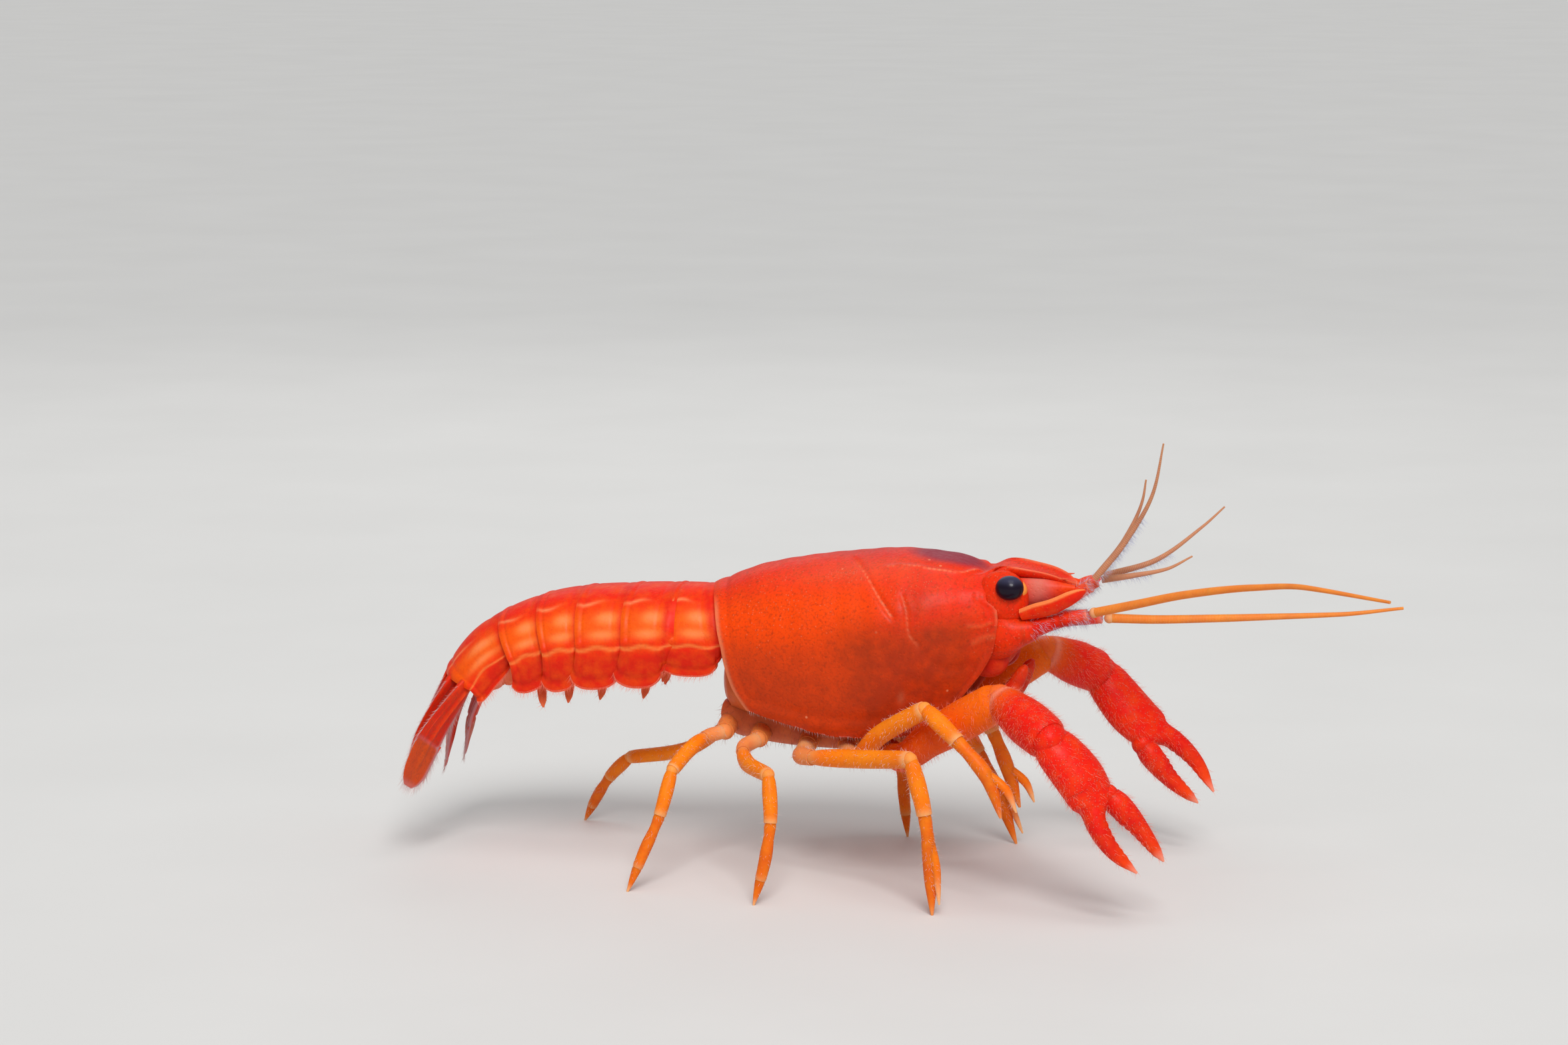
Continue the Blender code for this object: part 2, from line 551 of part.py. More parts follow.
FINGER_ROOT = (0.78, 0.63)  # the moving finger starts square to this, along the hand and to its side
# The hand's middle line and the moving finger's: (share of the hand's length, share of it to the side).
HAND_LINE = ((0.38, 0.0), (0.5, -0.05), (0.6, -0.1), (0.78, -0.125), (1.0, -0.085))
FINGER_LINE = {
    "right": ((0.54, 0.102), (0.75, 0.125), (1.05, 0.115)),
    "left": ((0.54, 0.09), (0.75, 0.095), (0.99, 0.05)),
}


def mitre(before, joint, after):
    """The normal of the plane that parts two lengths of a limb evenly at their joint."""
    return unit(unit(np.subtract(joint, before)) + unit(np.subtract(after, joint)))


def stub_ends(limb, side):
    """The hidden end of a limb's stub, and the hip where it stops."""
    hip = LIMB_HIPS[limb]
    return mirrored(np.add(hip, STUB_REACH), side), mirrored(hip, side)


def make_leg(name, number, side):
    inside, hip = stub_ends(number, side)
    upper, lower = LEG_JOINTS[name, number]
    knee = upper[-1]
    half = LEG_WIDTH[number]
    bend = mitre(upper[-2], knee, lower[0])
    line = (shortened(hip, upper[0], GAP), *upper[:-1], shortened(knee, upper[-2], GAP / 2))
    widths = [(place, share * half) for place, share in UPPER_LEG]
    first = unit(np.subtract(hip, inside))
    rings = tube(line, widths, widths, wide=LEG_WIDE, start=first, end=bend)
    add(f"leg_{number}_upper_{name}", "leg", rings)

    lifted = lower[-1][2] > 0.0
    line = (shortened(knee, lower[0], GAP / 2), *lower)
    widths = [(place, share * half) for place, share in LOWER_LEG]
    widths.append((1.0, PINCER_TIP_HALF if lifted else FOOT_HALF))
    end = None if lifted else DOWN
    rings = tube(line, widths, widths, wide=LEG_WIDE, stations=9, start=bend, end=end)
    shin = add(f"leg_{number}_lower_{name}", "leg", rings)
    if number not in PINCER_SPREAD:
        return
    palm, last = np.array(lower[1]), np.array(lower[2])
    aside = np.array(mirrored(PINCER_SPREAD[number], side))
    hinge = palm + (palm - last) * PINCER_HINGE
    lift = np.array([0.0, 0.0, PINCER_LIFT[number]])
    point = last + (palm - last) * PINCER_SHORT + aside + lift
    middle = (hinge + point) / 2.0 + aside * PINCER_BOW
    line = (hinge, middle, point)
    finger = add("pincer_finger", "leg", tube(line, PINCER_WIDTHS, PINCER_WIDTHS, sides=6, stations=5))
    fuse(shin, [finger])


def make_claw(name):
    side = SIDES[name]
    pose = ARM_JOINTS[name]
    arm, wrist = pose["arm"], np.array(pose["wrist"])
    axis, spread = unit(pose["axis"]), unit(pose["spread"])
    spread = unit(spread - axis * np.dot(axis, spread))
    elbow = arm[-1]
    inside, hip = stub_ends(1, side)
    first = unit(np.subtract(hip, inside))
    bend = mitre(arm[-2], elbow, wrist)
    top = (shortened(hip, arm[0], GAP), *arm[:-1], shortened(elbow, arm[-2], GAP / 2))
    rings = tube(top, ARM_WIDTHS, ARM_WIDTHS, stations=10, sides=12, start=first, end=bend)
    add(f"cheliped_arm_{name}", "claw", rings)
    turn = unit(unit(wrist - np.array(elbow)) + axis)
    line = (shortened(elbow, wrist, GAP / 2), shortened(wrist, elbow, GAP / 2))
    rings = tube(line, WRIST_WIDTHS, WRIST_WIDTHS, wide=spread, sides=12, start=bend, end=turn)
    add(f"cheliped_wrist_{name}", "claw", rings)

    length = pose["length"]

    def on_hand(along, off):
        return tuple(wrist + (axis * along + spread * off) * length)

    line = [on_hand(GAP / 2 / length, 0.0)] + [on_hand(*place) for place in HAND_LINE]
    rings = tube(line, PALM_WIDTHS, PALM_HEIGHTS, wide=spread, stations=15, sides=12, start=turn)
    add(f"cheliped_hand_{name}", "claw", rings)
    line = [on_hand(*place) for place in FINGER_LINE[name]]
    root = axis * FINGER_ROOT[0] + spread * FINGER_ROOT[1]
    rings = tube(line, FINGER_WIDTHS, FINGER_WIDTHS, wide=spread, sides=10, start=root)
    add(f"cheliped_finger_{name}", "claw", rings)


# Head: for the left side where no side is named.
FACE_FOOT, FACE_TOP = 10.3, 14.1
FACE_REAR = ((10.3, 5.4), (11.4, 5.9), (12.5, 6.0), (14.4, 5.95))  # x of its rear by height
FACE_HALF_WIDTH = ((10.3, 1.4), (11.6, 2.05), (12.8, 2.0), (13.5, 1.4), (14.4, 1.0))
FACE_STEPS = ((0.0, 0.95), (0.3, 0.9), (0.36, 0.62), (0.72, 0.5))  # forward of its rear, and size
EYESTALK = ((6.1, 1.2, 13.92), (6.1, 1.52, 14.14))
STALK_WIDTHS = ((0.0, 0.34), (1.0, 0.42))
FEELER_BASE = {
    "right": ((6.88, -1.6, 12.34), (8.1, -1.42, 12.8), (9.6, -1.36, 13.14)),
    "left": ((6.88, 1.6, 12.24), (8.2, 1.42, 12.44), (9.75, 1.4, 12.54)),
}
FEELER_BASE_WIDTHS = ((0.0, 0.52), (0.3, 0.48), (0.45, 0.4), (0.6, 0.42), (0.85, 0.34), (1.0, 0.28))
FEELER_BASE_HEIGHTS = ((0.0, 0.48), (0.3, 0.42), (0.6, 0.36), (0.85, 0.31), (1.0, 0.27))
SCALE_ROUTE = ((6.6, 2.0, 13.12), (8.0, 2.08, 13.54), (9.6, 1.95, 14.38))
SCALE_WIDTHS = ((0.0, 0.28), (0.3, 0.44), (0.7, 0.42), (0.9, 0.28), (1.0, 0.08))
SCALE_SLOPE = 1.2  # how steeply it stands, with its stiff outer edge up
SCALE_HEIGHTS = ((0.0, 0.25), (0.8, 0.25), (1.0, 0.1))
FEELER = {
    "right": (
        (9.92, -1.38, 13.26), (11.9, -2.2, 13.86), (14.56, -3.5, 14.68), (17.9, -5.3, 15.45),
        (20.5, -6.8, 15.82), (24.5, -8.9, 15.7),
    ),
    "left": (
        (10.1, 1.45, 12.52), (12.4, 2.0, 12.47), (15.0, 3.0, 12.47), (17.7, 4.1, 12.49),
        (20.4, 5.1, 12.54), (23.3, 6.1, 12.8),
    ),
}
FEELER_SPLIT = 0.4  # share of its length where one piece ends and the next begins
FEELER_WIDTHS = ((0.0, 0.26), (1.0, 0.25))
FEELER_END_WIDTHS = ((0.0, 0.25), (0.7, 0.22), (1.0, 0.12))
SMALL_BASE = ((6.98, 0.55, 13.55), (8.3, 0.56, 13.68), (9.6, 0.72, 14.4))
SMALL_BASE_WIDTHS = ((0.0, 0.34), (0.5, 0.3), (1.0, 0.4))
SMALL_BASE_HEIGHTS = ((0.0, 0.5), (0.3, 0.46), (0.55, 0.32), (1.0, 0.3))
SMALL_FEELER_WIDTHS = ((0.0, 0.23), (0.5, 0.21), (1.0, 0.1))
SMALL_FEELERS = {
    ("right", "outer"): (
        (9.87, -1.04, 14.82), (11.32, -1.25, 16.64), (12.71, -1.75, 19.17), (13.2, -2.2, 21.4),
    ),
    ("right", "inner"): (
        (9.85, -0.4, 14.82), (11.17, -0.6, 16.64), (12.02, -0.75, 18.6), (12.17, -0.85, 19.5),
    ),
    ("left", "outer"): (
        (9.9, 1.04, 14.6), (12.19, 1.3, 15.35), (14.4, 1.9, 17.0), (15.36, 2.2, 17.92),
    ),
    ("left", "inner"): (
        (9.92, 0.4, 14.52), (11.33, 0.55, 14.75), (12.9, 0.7, 15.1), (14.09, 0.9, 15.73),
    ),
}
JAW_LEG = ((2.4, 1.15, 6.85), (4.2, 1.2, 7.85), (5.8, 0.95, 9.15), (6.6, 0.75, 10.5))
JAW_LEG_WIDTHS = ((0.0, 0.5), (0.4, 0.6), (0.75, 0.42), (1.0, 0.24))


def make_face():
    """The front of the head below the beak, which the eyes and feelers grow from."""
    turn = np.linspace(0.0, 2.0 * math.pi, 16, endpoint=False)
    middle, tall = (FACE_TOP + FACE_FOOT) / 2.0, (FACE_TOP - FACE_FOOT) / 2.0
    rings = []
    for step, size in FACE_STEPS:
        height = middle + tall * np.sin(turn)
        half = profile(FACE_HALF_WIDTH, height) * np.sign(np.cos(turn)) * np.abs(np.cos(turn)) ** 0.6
        x = profile(FACE_REAR, height) + step
        rings.append(np.stack([x, half * size, middle + (height - middle) * size], axis=1))
    add("face", "mouth", rings)


def make_eye(name):
    """The eye, flat where it meets its short stalk, and the stalk."""
    side = SIDES[name]
    root, top = (mirrored(point, side) for point in EYESTALK)
    ahead = unit(np.subtract(top, root))
    stalk = tube((root, top), STALK_WIDTHS, STALK_WIDTHS, wide=AHEAD, sides=10, stations=3)
    add("eyestalk_" + name, "mouth", stalk)
    centre = np.array(mirrored(EYE_CENTRE, side))
    along, through, up = EYE_RADII
    around = np.linspace(0.0, 2.0 * math.pi, 14, endpoint=False)
    upright = np.cross(ahead, AHEAD)
    circle = np.outer(np.cos(around) * along, AHEAD) + np.outer(np.sin(around) * up, upright)
    turns = np.linspace(EYE_FLAT, math.pi - EYE_FLAT / 4.0, 8)
    rings = [centre - ahead * through * math.cos(turn) + circle * math.sin(turn) for turn in turns]
    add("eye_" + name, "eye", rings)


def make_feelers(name):
    """The long feeler with its base and scale, and the pair of small ones above it."""
    side = SIDES[name]

    def at(points):
        return [mirrored(point, side) for point in points]

    base = tube(FEELER_BASE[name], FEELER_BASE_WIDTHS, FEELER_BASE_HEIGHTS, stations=10)
    add("antenna_base_" + name, "claw", base)
    slope = (0.0, side, SCALE_SLOPE)
    add("antenna_scale_" + name, "leg", tube(at(SCALE_ROUTE), SCALE_WIDTHS, SCALE_HEIGHTS, wide=slope))
    for length, (start, end), widths in (
        ("inner", (0.0, FEELER_SPLIT), FEELER_WIDTHS),
        ("outer", (FEELER_SPLIT, 1.0), FEELER_END_WIDTHS),
    ):
        line = route(FEELER[name], np.linspace(start, end, 9))
        if length == "outer":
            line[0] = shortened(line[0], line[1], GAP)
        add(f"antenna_{length}_{name}", "feeler", tube(line, widths, widths, sides=6, stations=9))
    base = tube(at(SMALL_BASE), SMALL_BASE_WIDTHS, SMALL_BASE_HEIGHTS, stations=6)
    add("antennule_base_" + name, "claw", base)
    for which in ("outer", "inner"):
        rings = tube(SMALL_FEELERS[name, which], SMALL_FEELER_WIDTHS, SMALL_FEELER_WIDTHS, sides=6)
        add(f"antennule_{which}_{name}", "feeler", rings)


def make_jaw_leg(name):
    """The folded limb beside the mouth."""
    line = [mirrored(point, SIDES[name]) for point in JAW_LEG]
    add("maxilliped_" + name, "mouth", tube(line, JAW_LEG_WIDTHS, JAW_LEG_WIDTHS, stations=7))


def main():
    for thing in list(bpy.data.objects):
        bpy.data.objects.remove(thing)
    make_shell()
    make_keel()
    make_face()
    for index in range(len(SEGMENT_HALF_WIDTH)):
        make_segment(index)
    make_fan()
    for name, side in SIDES.items():
        make_eye(name)
        make_feelers(name)
        make_jaw_leg(name)
        make_claw(name)
        for number in (2, 3, 4, 5):
            make_leg(name, number, side)


main()
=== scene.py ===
# %% [markdown]
# # A dwarf orange crayfish, life size
#
# The animal stands on its legs with its claws held out in front, as a museum model would show it.
# Each hard plate is a surface of its own, and is made from a rule rather than sculpted by hand: a
# row of rings that follow the outline of the body, or a tube along a limb. What repeats, such as
# the bristles and the rings of the feelers, is made with Geometry Nodes. All sizes below are in
# millimetres until a mesh is made, because a crayfish of 38 mm is hard to picture in metres.

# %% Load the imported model
import math

import bpy
import numpy as np
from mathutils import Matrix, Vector


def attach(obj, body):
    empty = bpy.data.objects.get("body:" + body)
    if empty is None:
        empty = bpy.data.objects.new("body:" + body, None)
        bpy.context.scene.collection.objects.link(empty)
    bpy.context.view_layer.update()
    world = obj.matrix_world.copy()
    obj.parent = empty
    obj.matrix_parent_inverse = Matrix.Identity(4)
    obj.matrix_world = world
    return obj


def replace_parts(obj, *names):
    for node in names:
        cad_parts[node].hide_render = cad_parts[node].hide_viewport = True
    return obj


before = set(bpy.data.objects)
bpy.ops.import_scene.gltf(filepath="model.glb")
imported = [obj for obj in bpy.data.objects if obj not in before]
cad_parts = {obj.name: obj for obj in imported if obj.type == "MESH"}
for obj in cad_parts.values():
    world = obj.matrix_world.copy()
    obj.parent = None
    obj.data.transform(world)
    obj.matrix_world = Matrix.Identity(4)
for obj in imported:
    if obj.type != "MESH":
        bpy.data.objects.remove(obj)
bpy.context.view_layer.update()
MM = 0.001

# %% [markdown]
# ## Where the camera stands
#
# The view is from the animal's right side, a little from the front and a little from above. The
# camera could be aimed at an empty, but here it is set from what can be measured: two angles, a
# distance, and the place in the frame where the middle of the body falls. A long lens from 20 cm
# away flattens the perspective as a macro lens does.

# %% Camera
def linked(name, data):
    """A new object in the scene."""
    made = bpy.data.objects.new(name, data)
    bpy.context.scene.collection.objects.link(made)
    return made


FRAME_WIDE, FRAME_HIGH = 2353.0, 1568.0
LENS, SENSOR = 100.0, 36.0
AZIMUTH, ELEVATION = math.radians(15.0), math.radians(9.0)
DISTANCE = 206.0
BODY_MIDDLE = np.array([0.0, 0.0, 11.1])
MIDDLE_IN_FRAME = (1340.0, 965.0)

away = np.array([
    math.sin(AZIMUTH) * math.cos(ELEVATION), -math.cos(AZIMUTH) * math.cos(ELEVATION), math.sin(ELEVATION)
])
aside = np.array([math.cos(AZIMUTH), math.sin(AZIMUTH), 0.0])
upward = np.cross(away, aside)
per_pixel = DISTANCE / (LENS / SENSOR * FRAME_WIDE)
eye_point = BODY_MIDDLE + DISTANCE * away
eye_point = eye_point - (MIDDLE_IN_FRAME[0] - FRAME_WIDE / 2.0) * per_pixel * aside
eye_point = eye_point + (MIDDLE_IN_FRAME[1] - FRAME_HIGH / 2.0) * per_pixel * upward

camera_data = bpy.data.cameras.new("camera")
camera_data.lens = LENS
camera_data.sensor_width = SENSOR
camera_data.clip_start = 0.01
camera = linked("camera", camera_data)
turned = np.eye(4)
turned[:3] = np.stack([aside, upward, away, eye_point * MM], axis=1)
camera.matrix_world = turned.T.tolist()
bpy.context.scene.camera = camera
print("camera at", np.round(eye_point, 1), "mm")

# %% [markdown]
# ## Light and floor
#
# A broad sun from the camera's side lights the flank. A square light above lifts the back, and a
# faint one behind the animal draws a thin bright rim on the fringes. One bright sky could light it
# all, but three lamps can be set one by one. A pale sky only fills the shadow under the belly. The
# floor is plain and pale, and so large that its edge never shows.

# %% Studio
def soft_light(name, place, size, power):
    """A square light at this place, in millimetres, that faces the body."""
    data = bpy.data.lights.new(name, "AREA")
    data.size = size * MM
    data.energy = power
    light = linked(name, data)
    light.rotation_mode = "QUATERNION"
    light.rotation_quaternion = Vector(BODY_MIDDLE - np.array(place)).to_track_quat("-Z", "Y")
    light.location = np.array(place) * MM


soft_light("key", (30.0, -60.0, 200.0), 110.0, 0.09)
soft_light("rim", (-60.0, 160.0, 120.0), 120.0, 0.03)
daylight_data = bpy.data.lights.new("daylight", "SUN")
daylight_data.angle = math.radians(24.0)
daylight_data.energy = 2.2
daylight = linked("daylight", daylight_data)
daylight.rotation_euler = (math.radians(48.0), 0.0, math.radians(20.0))
world = bpy.data.worlds.new("studio")
world.use_nodes = True
sky = world.node_tree.nodes["Background"].inputs
sky["Color"].default_value = (0.86, 0.88, 0.9, 1.0)
sky["Strength"].default_value = 0.4
bpy.context.scene.world = world
bpy.context.scene.view_settings.view_transform = "Standard"

REACH = 3.0  # of the floor from the animal, in metres
corners = [(x * REACH, y * REACH, 0.0) for x, y in ((-1, -1), (1, -1), (1, 1), (-1, 1))]
floor_mesh = bpy.data.meshes.new("floor")
floor_mesh.from_pydata(corners, [], [(0, 1, 2, 3)])
floor = linked("floor", floor_mesh)
print("lights:", [light.name for light in bpy.data.lights])

# %% [markdown]
# ## The colour of the shell
#
# The shell of this animal is orange all through, and red where more pigment lies in the skin below
# it. Over that come cream joints, a golden band along the tail, dark red specks and a few pale
# dots. It could be painted on an image, but a pattern made from noise stays sharp from close up.
# One shader group holds what all the plates share. Each finish gives it five colours, and each
# piece carries painted masks, `gold`, `pale`, `deep` and `cool`, that say where the colours go, and
# `grain` where the shell is beaded. Besides dark red marks, `deep` holds painted shade on the lower
# flank of the shell, and `pale` holds painted highlights on the back of the shell and the tail.

# %% Nodes made short
def node(tree, kind, inputs=(), **settings):
    """Adds a node. settings are its own options, and inputs gives a value or a link for its sockets."""
    made = tree.nodes.new(kind)
    for key, value in settings.items():
        setattr(made, key, value)
    for key, value in dict(inputs).items():
        if isinstance(value, bpy.types.NodeSocket):
            tree.links.new(value, made.inputs[key])
        else:
            made.inputs[key].default_value = value
    return made


def mixed(tree, share, first, second):
    """The second colour over the first, by the share."""
    return node(tree, "ShaderNodeMix", {0: share, 6: first, 7: second}, data_type="RGBA").outputs[2]


def ranged(tree, value, low, high, start=0.0, end=1.0):
    """A value stretched from low to high, and kept between start and end."""
    return node(tree, "ShaderNodeMapRange", {0: value, 1: low, 2: high, 3: start, 4: end}).outputs[0]


def maths(tree, operation, *values):
    """A Math node on these numbers or links."""
    return node(tree, "ShaderNodeMath", dict(enumerate(values)), operation=operation).outputs[0]


def product(tree, first, second):
    return maths(tree, "MULTIPLY", first, second)


def noise(tree, where, scale, detail):
    return node(tree, "ShaderNodeTexNoise", {"Vector": where, "Scale": scale, "Detail": detail}).outputs[0]


def painted(tree, mask):
    """A mask that a mesh carries point by point."""
    return node(tree, "ShaderNodeAttribute", attribute_name=mask).outputs["Fac"]


# %% The chitin group
def spots(tree, where, scale, share, radius):
    """Round spots of this radius, as a share of their spacing, on this share of the places."""
    cells = node(tree, "ShaderNodeTexVoronoi", {"Vector": where, "Scale": scale, "Randomness": 1.0}).outputs
    chosen = node(tree, "ShaderNodeSeparateColor", {0: cells["Color"]}).outputs[0]
    inside = ranged(tree, cells["Distance"], radius, radius * 0.55)
    left = maths(tree, "SUBTRACT", share, chosen)
    return product(tree, inside, ranged(tree, left, 0.0, 0.08))


def sockets(tree, in_out, kinds):
    """Gives a node group its named inputs or outputs: {name: kind, or (kind, first value)}."""
    for name, kind in kinds.items():
        kind, *value = (kind,) if isinstance(kind, str) else kind
        socket = tree.interface.new_socket(name, in_out=in_out, socket_type="NodeSocket" + kind)
        if value:
            socket.default_value = value[0]


def chitin_group():
    """The colour, roughness and height of the shell, from five colours and the painted masks."""
    tree = bpy.data.node_groups.new("chitin", "ShaderNodeTree")
    sockets(tree, "INPUT", dict.fromkeys(("Base", "Gold", "Pale", "Deep", "Cool"), "Color"))
    sockets(tree, "INPUT", dict.fromkeys(("Specks", "Dots", "Mottle", "Pits"), "Float"))
    sockets(tree, "OUTPUT", {"Color": "Color", "Roughness": "Float", "Height": "Float"})
    given = node(tree, "NodeGroupInput").outputs
    where = node(tree, "ShaderNodeTexCoord").outputs["Object"]
    fine = noise(tree, where, 3600.0, 4.0)
    beads = spots(tree, where, 9000.0, painted(tree, "grain"), 0.42)
    mottle = ranged(tree, noise(tree, where, 480.0, 4.0), 0.42, 0.68)
    clouds = ranged(tree, noise(tree, where, 1700.0, 3.0), 0.4, 0.7)
    flecks = ranged(tree, noise(tree, where, 8000.0, 3.0), 0.48, 0.72)
    specks = spots(tree, where, 2600.0, 0.34, 0.2)
    dots = spots(tree, where, 1500.0, 0.26, 0.12)
    colour = given["Base"]
    for share, tint in (  # from the first coat of paint to the last
        (painted(tree, "gold"), "Gold"),
        # deep: dark red marks, and on the shell also painted shade on its lower flank
        (painted(tree, "deep"), "Deep"),
        (product(tree, mottle, given["Mottle"]), "Deep"),
        (product(tree, clouds, 0.3), "Gold"),
        (product(tree, flecks, given["Specks"]), "Deep"),
        (painted(tree, "cool"), "Cool"),
        (product(tree, specks, given["Specks"]), "Deep"),
        (product(tree, dots, given["Dots"]), "Pale"),
        (product(tree, beads, 0.16), "Pale"),
        # pale: pale marks, and on the shell and tail also painted highlights
        (painted(tree, "pale"), "Pale"),
    ):
        colour = mixed(tree, share, colour, given[tint])
    pits = product(tree, spots(tree, where, 6400.0, 0.7, 0.34), given["Pits"])
    height = maths(tree, "ADD", maths(tree, "SUBTRACT", fine, pits), beads)
    rough = ranged(tree, fine, 0.3, 0.75, 0.36, 0.52)
    node(tree, "NodeGroupOutput", {"Color": colour, "Roughness": rough, "Height": height})
    return tree


CHITIN = chitin_group()
print("group", CHITIN.name, "with", len(CHITIN.nodes), "nodes")

# %% [markdown]
# ## The finishes
#
# Chitin is hard and a little see-through, so every plate gets some light under its skin, a thin
# smooth coat, and fine pits that break up the highlight. A strong coat alone would make the animal
# look varnished, so it is kept weak.

# %% Finishes of the plates
FINISHES = {}
PURPLE = (0.2, 0.012, 0.04)


def coloured(colour):
    return (*colour, 1.0)


def plate(name, base, gold, pale, deep, specks=0.5, dots=0.0, mottle=0.2, pits=0.4, relief=0.018, glow=0.2):
    """A chitin finish. relief is the depth of its pits in millimetres, glow the light under its skin."""
    made = bpy.data.materials.new(name)
    made.use_nodes = True
    tree = made.node_tree
    shader = tree.nodes["Principled BSDF"]
    look = tree.nodes.new("ShaderNodeGroup")
    look.node_tree = CHITIN
    for key, value in {
        "Base": coloured(base), "Gold": coloured(gold), "Pale": coloured(pale), "Deep": coloured(deep),
        "Cool": coloured(PURPLE), "Specks": specks, "Dots": dots, "Mottle": mottle, "Pits": pits,
    }.items():
        look.inputs[key].default_value = value
    depth = {"Height": look.outputs["Height"], "Distance": relief * MM, "Strength": 0.8}
    tree.links.new(look.outputs["Color"], shader.inputs["Base Color"])
    tree.links.new(look.outputs["Roughness"], shader.inputs["Roughness"])
    tree.links.new(node(tree, "ShaderNodeBump", depth).outputs[0], shader.inputs["Normal"])
    for key, value in {
        "Specular IOR Level": 0.1, "Subsurface Weight": glow, "Subsurface Radius": (1.0, 0.3, 0.1),
        "Subsurface Scale": 0.6 * MM, "Coat Weight": 0.03, "Coat Roughness": 0.2,
    }.items():
        shader.inputs[key].default_value = value
    FINISHES[name] = made


# The deep colour of the shell serves for its dark red marks and for the painted shade on its lower flank.
plate("shell_chitin", (0.8, 0.022, 0.004), (0.86, 0.062, 0.001), (0.9, 0.36, 0.18), (0.3, 0.03, 0.006),
      dots=0.5, mottle=0.14)
plate("tail_chitin", (0.82, 0.018, 0.003), (0.9, 0.14, 0.003), (0.95, 0.42, 0.2), (0.45, 0.014, 0.004),
      specks=0.2, mottle=0.12)
plate("fan_chitin", (0.72, 0.02, 0.005), (0.8, 0.1, 0.012), (0.6, 0.32, 0.36), (0.36, 0.05, 0.016))
plate("leg_chitin", (0.9, 0.17, 0.004), (0.96, 0.3, 0.01), (0.92, 0.52, 0.25), (0.55, 0.075, 0.01),
      specks=0.2)
plate("claw_chitin", (0.82, 0.012, 0.004), (0.86, 0.1, 0.004), (0.92, 0.4, 0.28), (0.45, 0.008, 0.006),
      specks=0.2, mottle=0.15, relief=0.03)
plate("feeler_chitin", (0.8, 0.2, 0.012), (0.92, 0.34, 0.03), (0.8, 0.5, 0.3), (0.4, 0.09, 0.03),
      specks=0.06)
plate("small_feeler_chitin", (0.5, 0.2, 0.09), (0.7, 0.3, 0.12), (0.75, 0.55, 0.48), (0.3, 0.09, 0.06),
      specks=0.1)
plate("soft_skin", (0.62, 0.09, 0.02), (0.8, 0.2, 0.03), (0.7, 0.33, 0.18), (0.24, 0.03, 0.012),
      specks=0.15, mottle=0.4, pits=0.1, glow=0.4)
print("plates:", ", ".join(FINISHES))

# %% Eye, bristles and floor
def plain(name, colour, rough=0.5, **values):
    """A finish of one colour. values are more of its sockets, with _ for a space."""
    made = bpy.data.materials.new(name)
    made.use_nodes = True
    values = {"Base_Color": coloured(colour), "Roughness": rough, "Specular_IOR_Level": 0.3, **values}
    for key, value in values.items():
        made.node_tree.nodes["Principled BSDF"].inputs[key.replace("_", " ")].default_value = value
    FINISHES[name] = made
    return made.node_tree


EYE_BLACK, EYE_PAINTED_SHEEN = (0.008, 0.004, 0.012), (0.04, 0.04, 0.08)
tree = plain("eye_gloss", EYE_BLACK, 0.3, Specular_IOR_Level=0.1, Coat_Weight=0.16, Coat_Roughness=0.04)
where = node(tree, "ShaderNodeTexCoord").outputs["Object"]
cells = {"Vector": where, "Scale": 16000.0, "Randomness": 0.35}
facets = node(tree, "ShaderNodeTexVoronoi", cells).outputs[0]
bump = node(tree, "ShaderNodeBump", {"Height": facets, "Distance": 0.006 * MM, "Strength": 0.35}).outputs[0]
# A painted sheen: the pale mask lightens the top of the eye as a painted reflection.
colour = mixed(tree, painted(tree, "pale"), coloured(EYE_BLACK), coloured(EYE_PAINTED_SHEEN))
tree.links.new(colour, tree.nodes["Principled BSDF"].inputs["Base Color"])
tree.links.new(bump, tree.nodes["Principled BSDF"].inputs["Normal"])

plain("pale_bristle", (0.7, 0.52, 0.5))
plain("claw_bristle", (0.84, 0.24, 0.17))
plain("blue_bristle", (0.5, 0.52, 0.66))
plain("red_bristle", (0.86, 0.2, 0.13))
plain("brown_bristle", (0.42, 0.14, 0.07))

tree = plain("studio_floor", (0.72, 0.71, 0.69), 0.7)
grain = noise(tree, node(tree, "ShaderNodeTexCoord").outputs["Object"], 60.0, 5.0)
tint = mixed(tree, grain, coloured((0.7, 0.69, 0.67)), coloured((0.76, 0.75, 0.73)))
tree.links.new(tint, tree.nodes["Principled BSDF"].inputs["Base Color"])
floor_mesh.materials.append(FINISHES["studio_floor"])
print("finishes:", len(FINISHES))

# %% [markdown]
# ## Smooth curves through a few numbers
#
# Every outline is a short list of places and values. It could be drawn as a Bezier curve, but
# numbers are easier to compare and to change. `profile` draws the smooth curve through them without
# overshooting, so a plate never bulges where the list doesn't say so.

# %% Curves
AHEAD, LEFT = (1.0, 0.0, 0.0), (0.0, 1.0, 0.0)
SIDES = {"right": -1.0, "left": 1.0}


def profile(points, at):
    """The smooth curve through (place, value) points: level past its ends, no overshoot between them."""
    places, values = np.array(points, float).T
    steps = np.diff(places)
    slopes = np.diff(values) / steps
    joined = slopes[:-1] * slopes[1:]
    total = np.where(joined > 0, slopes[:-1] + slopes[1:], 1.0)
    inner = np.where(joined > 0, 2.0 * joined / total, 0.0)
    tangents = np.concatenate([slopes[:1], inner, slopes[-1:]])
    at = np.clip(at, places[0], places[-1])
    cell = np.clip(np.searchsorted(places, at, side="right") - 1, 0, len(steps) - 1)
    width = steps[cell]
    t = (at - places[cell]) / width
    start = (1.0 + 2.0 * t) * (1.0 - t) ** 2 * values[cell] + t * (1.0 - t) ** 2 * width * tangents[cell]
    end = t * t * (3.0 - 2.0 * t) * values[cell + 1] + t * t * (t - 1.0) * width * tangents[cell + 1]
    return start + end


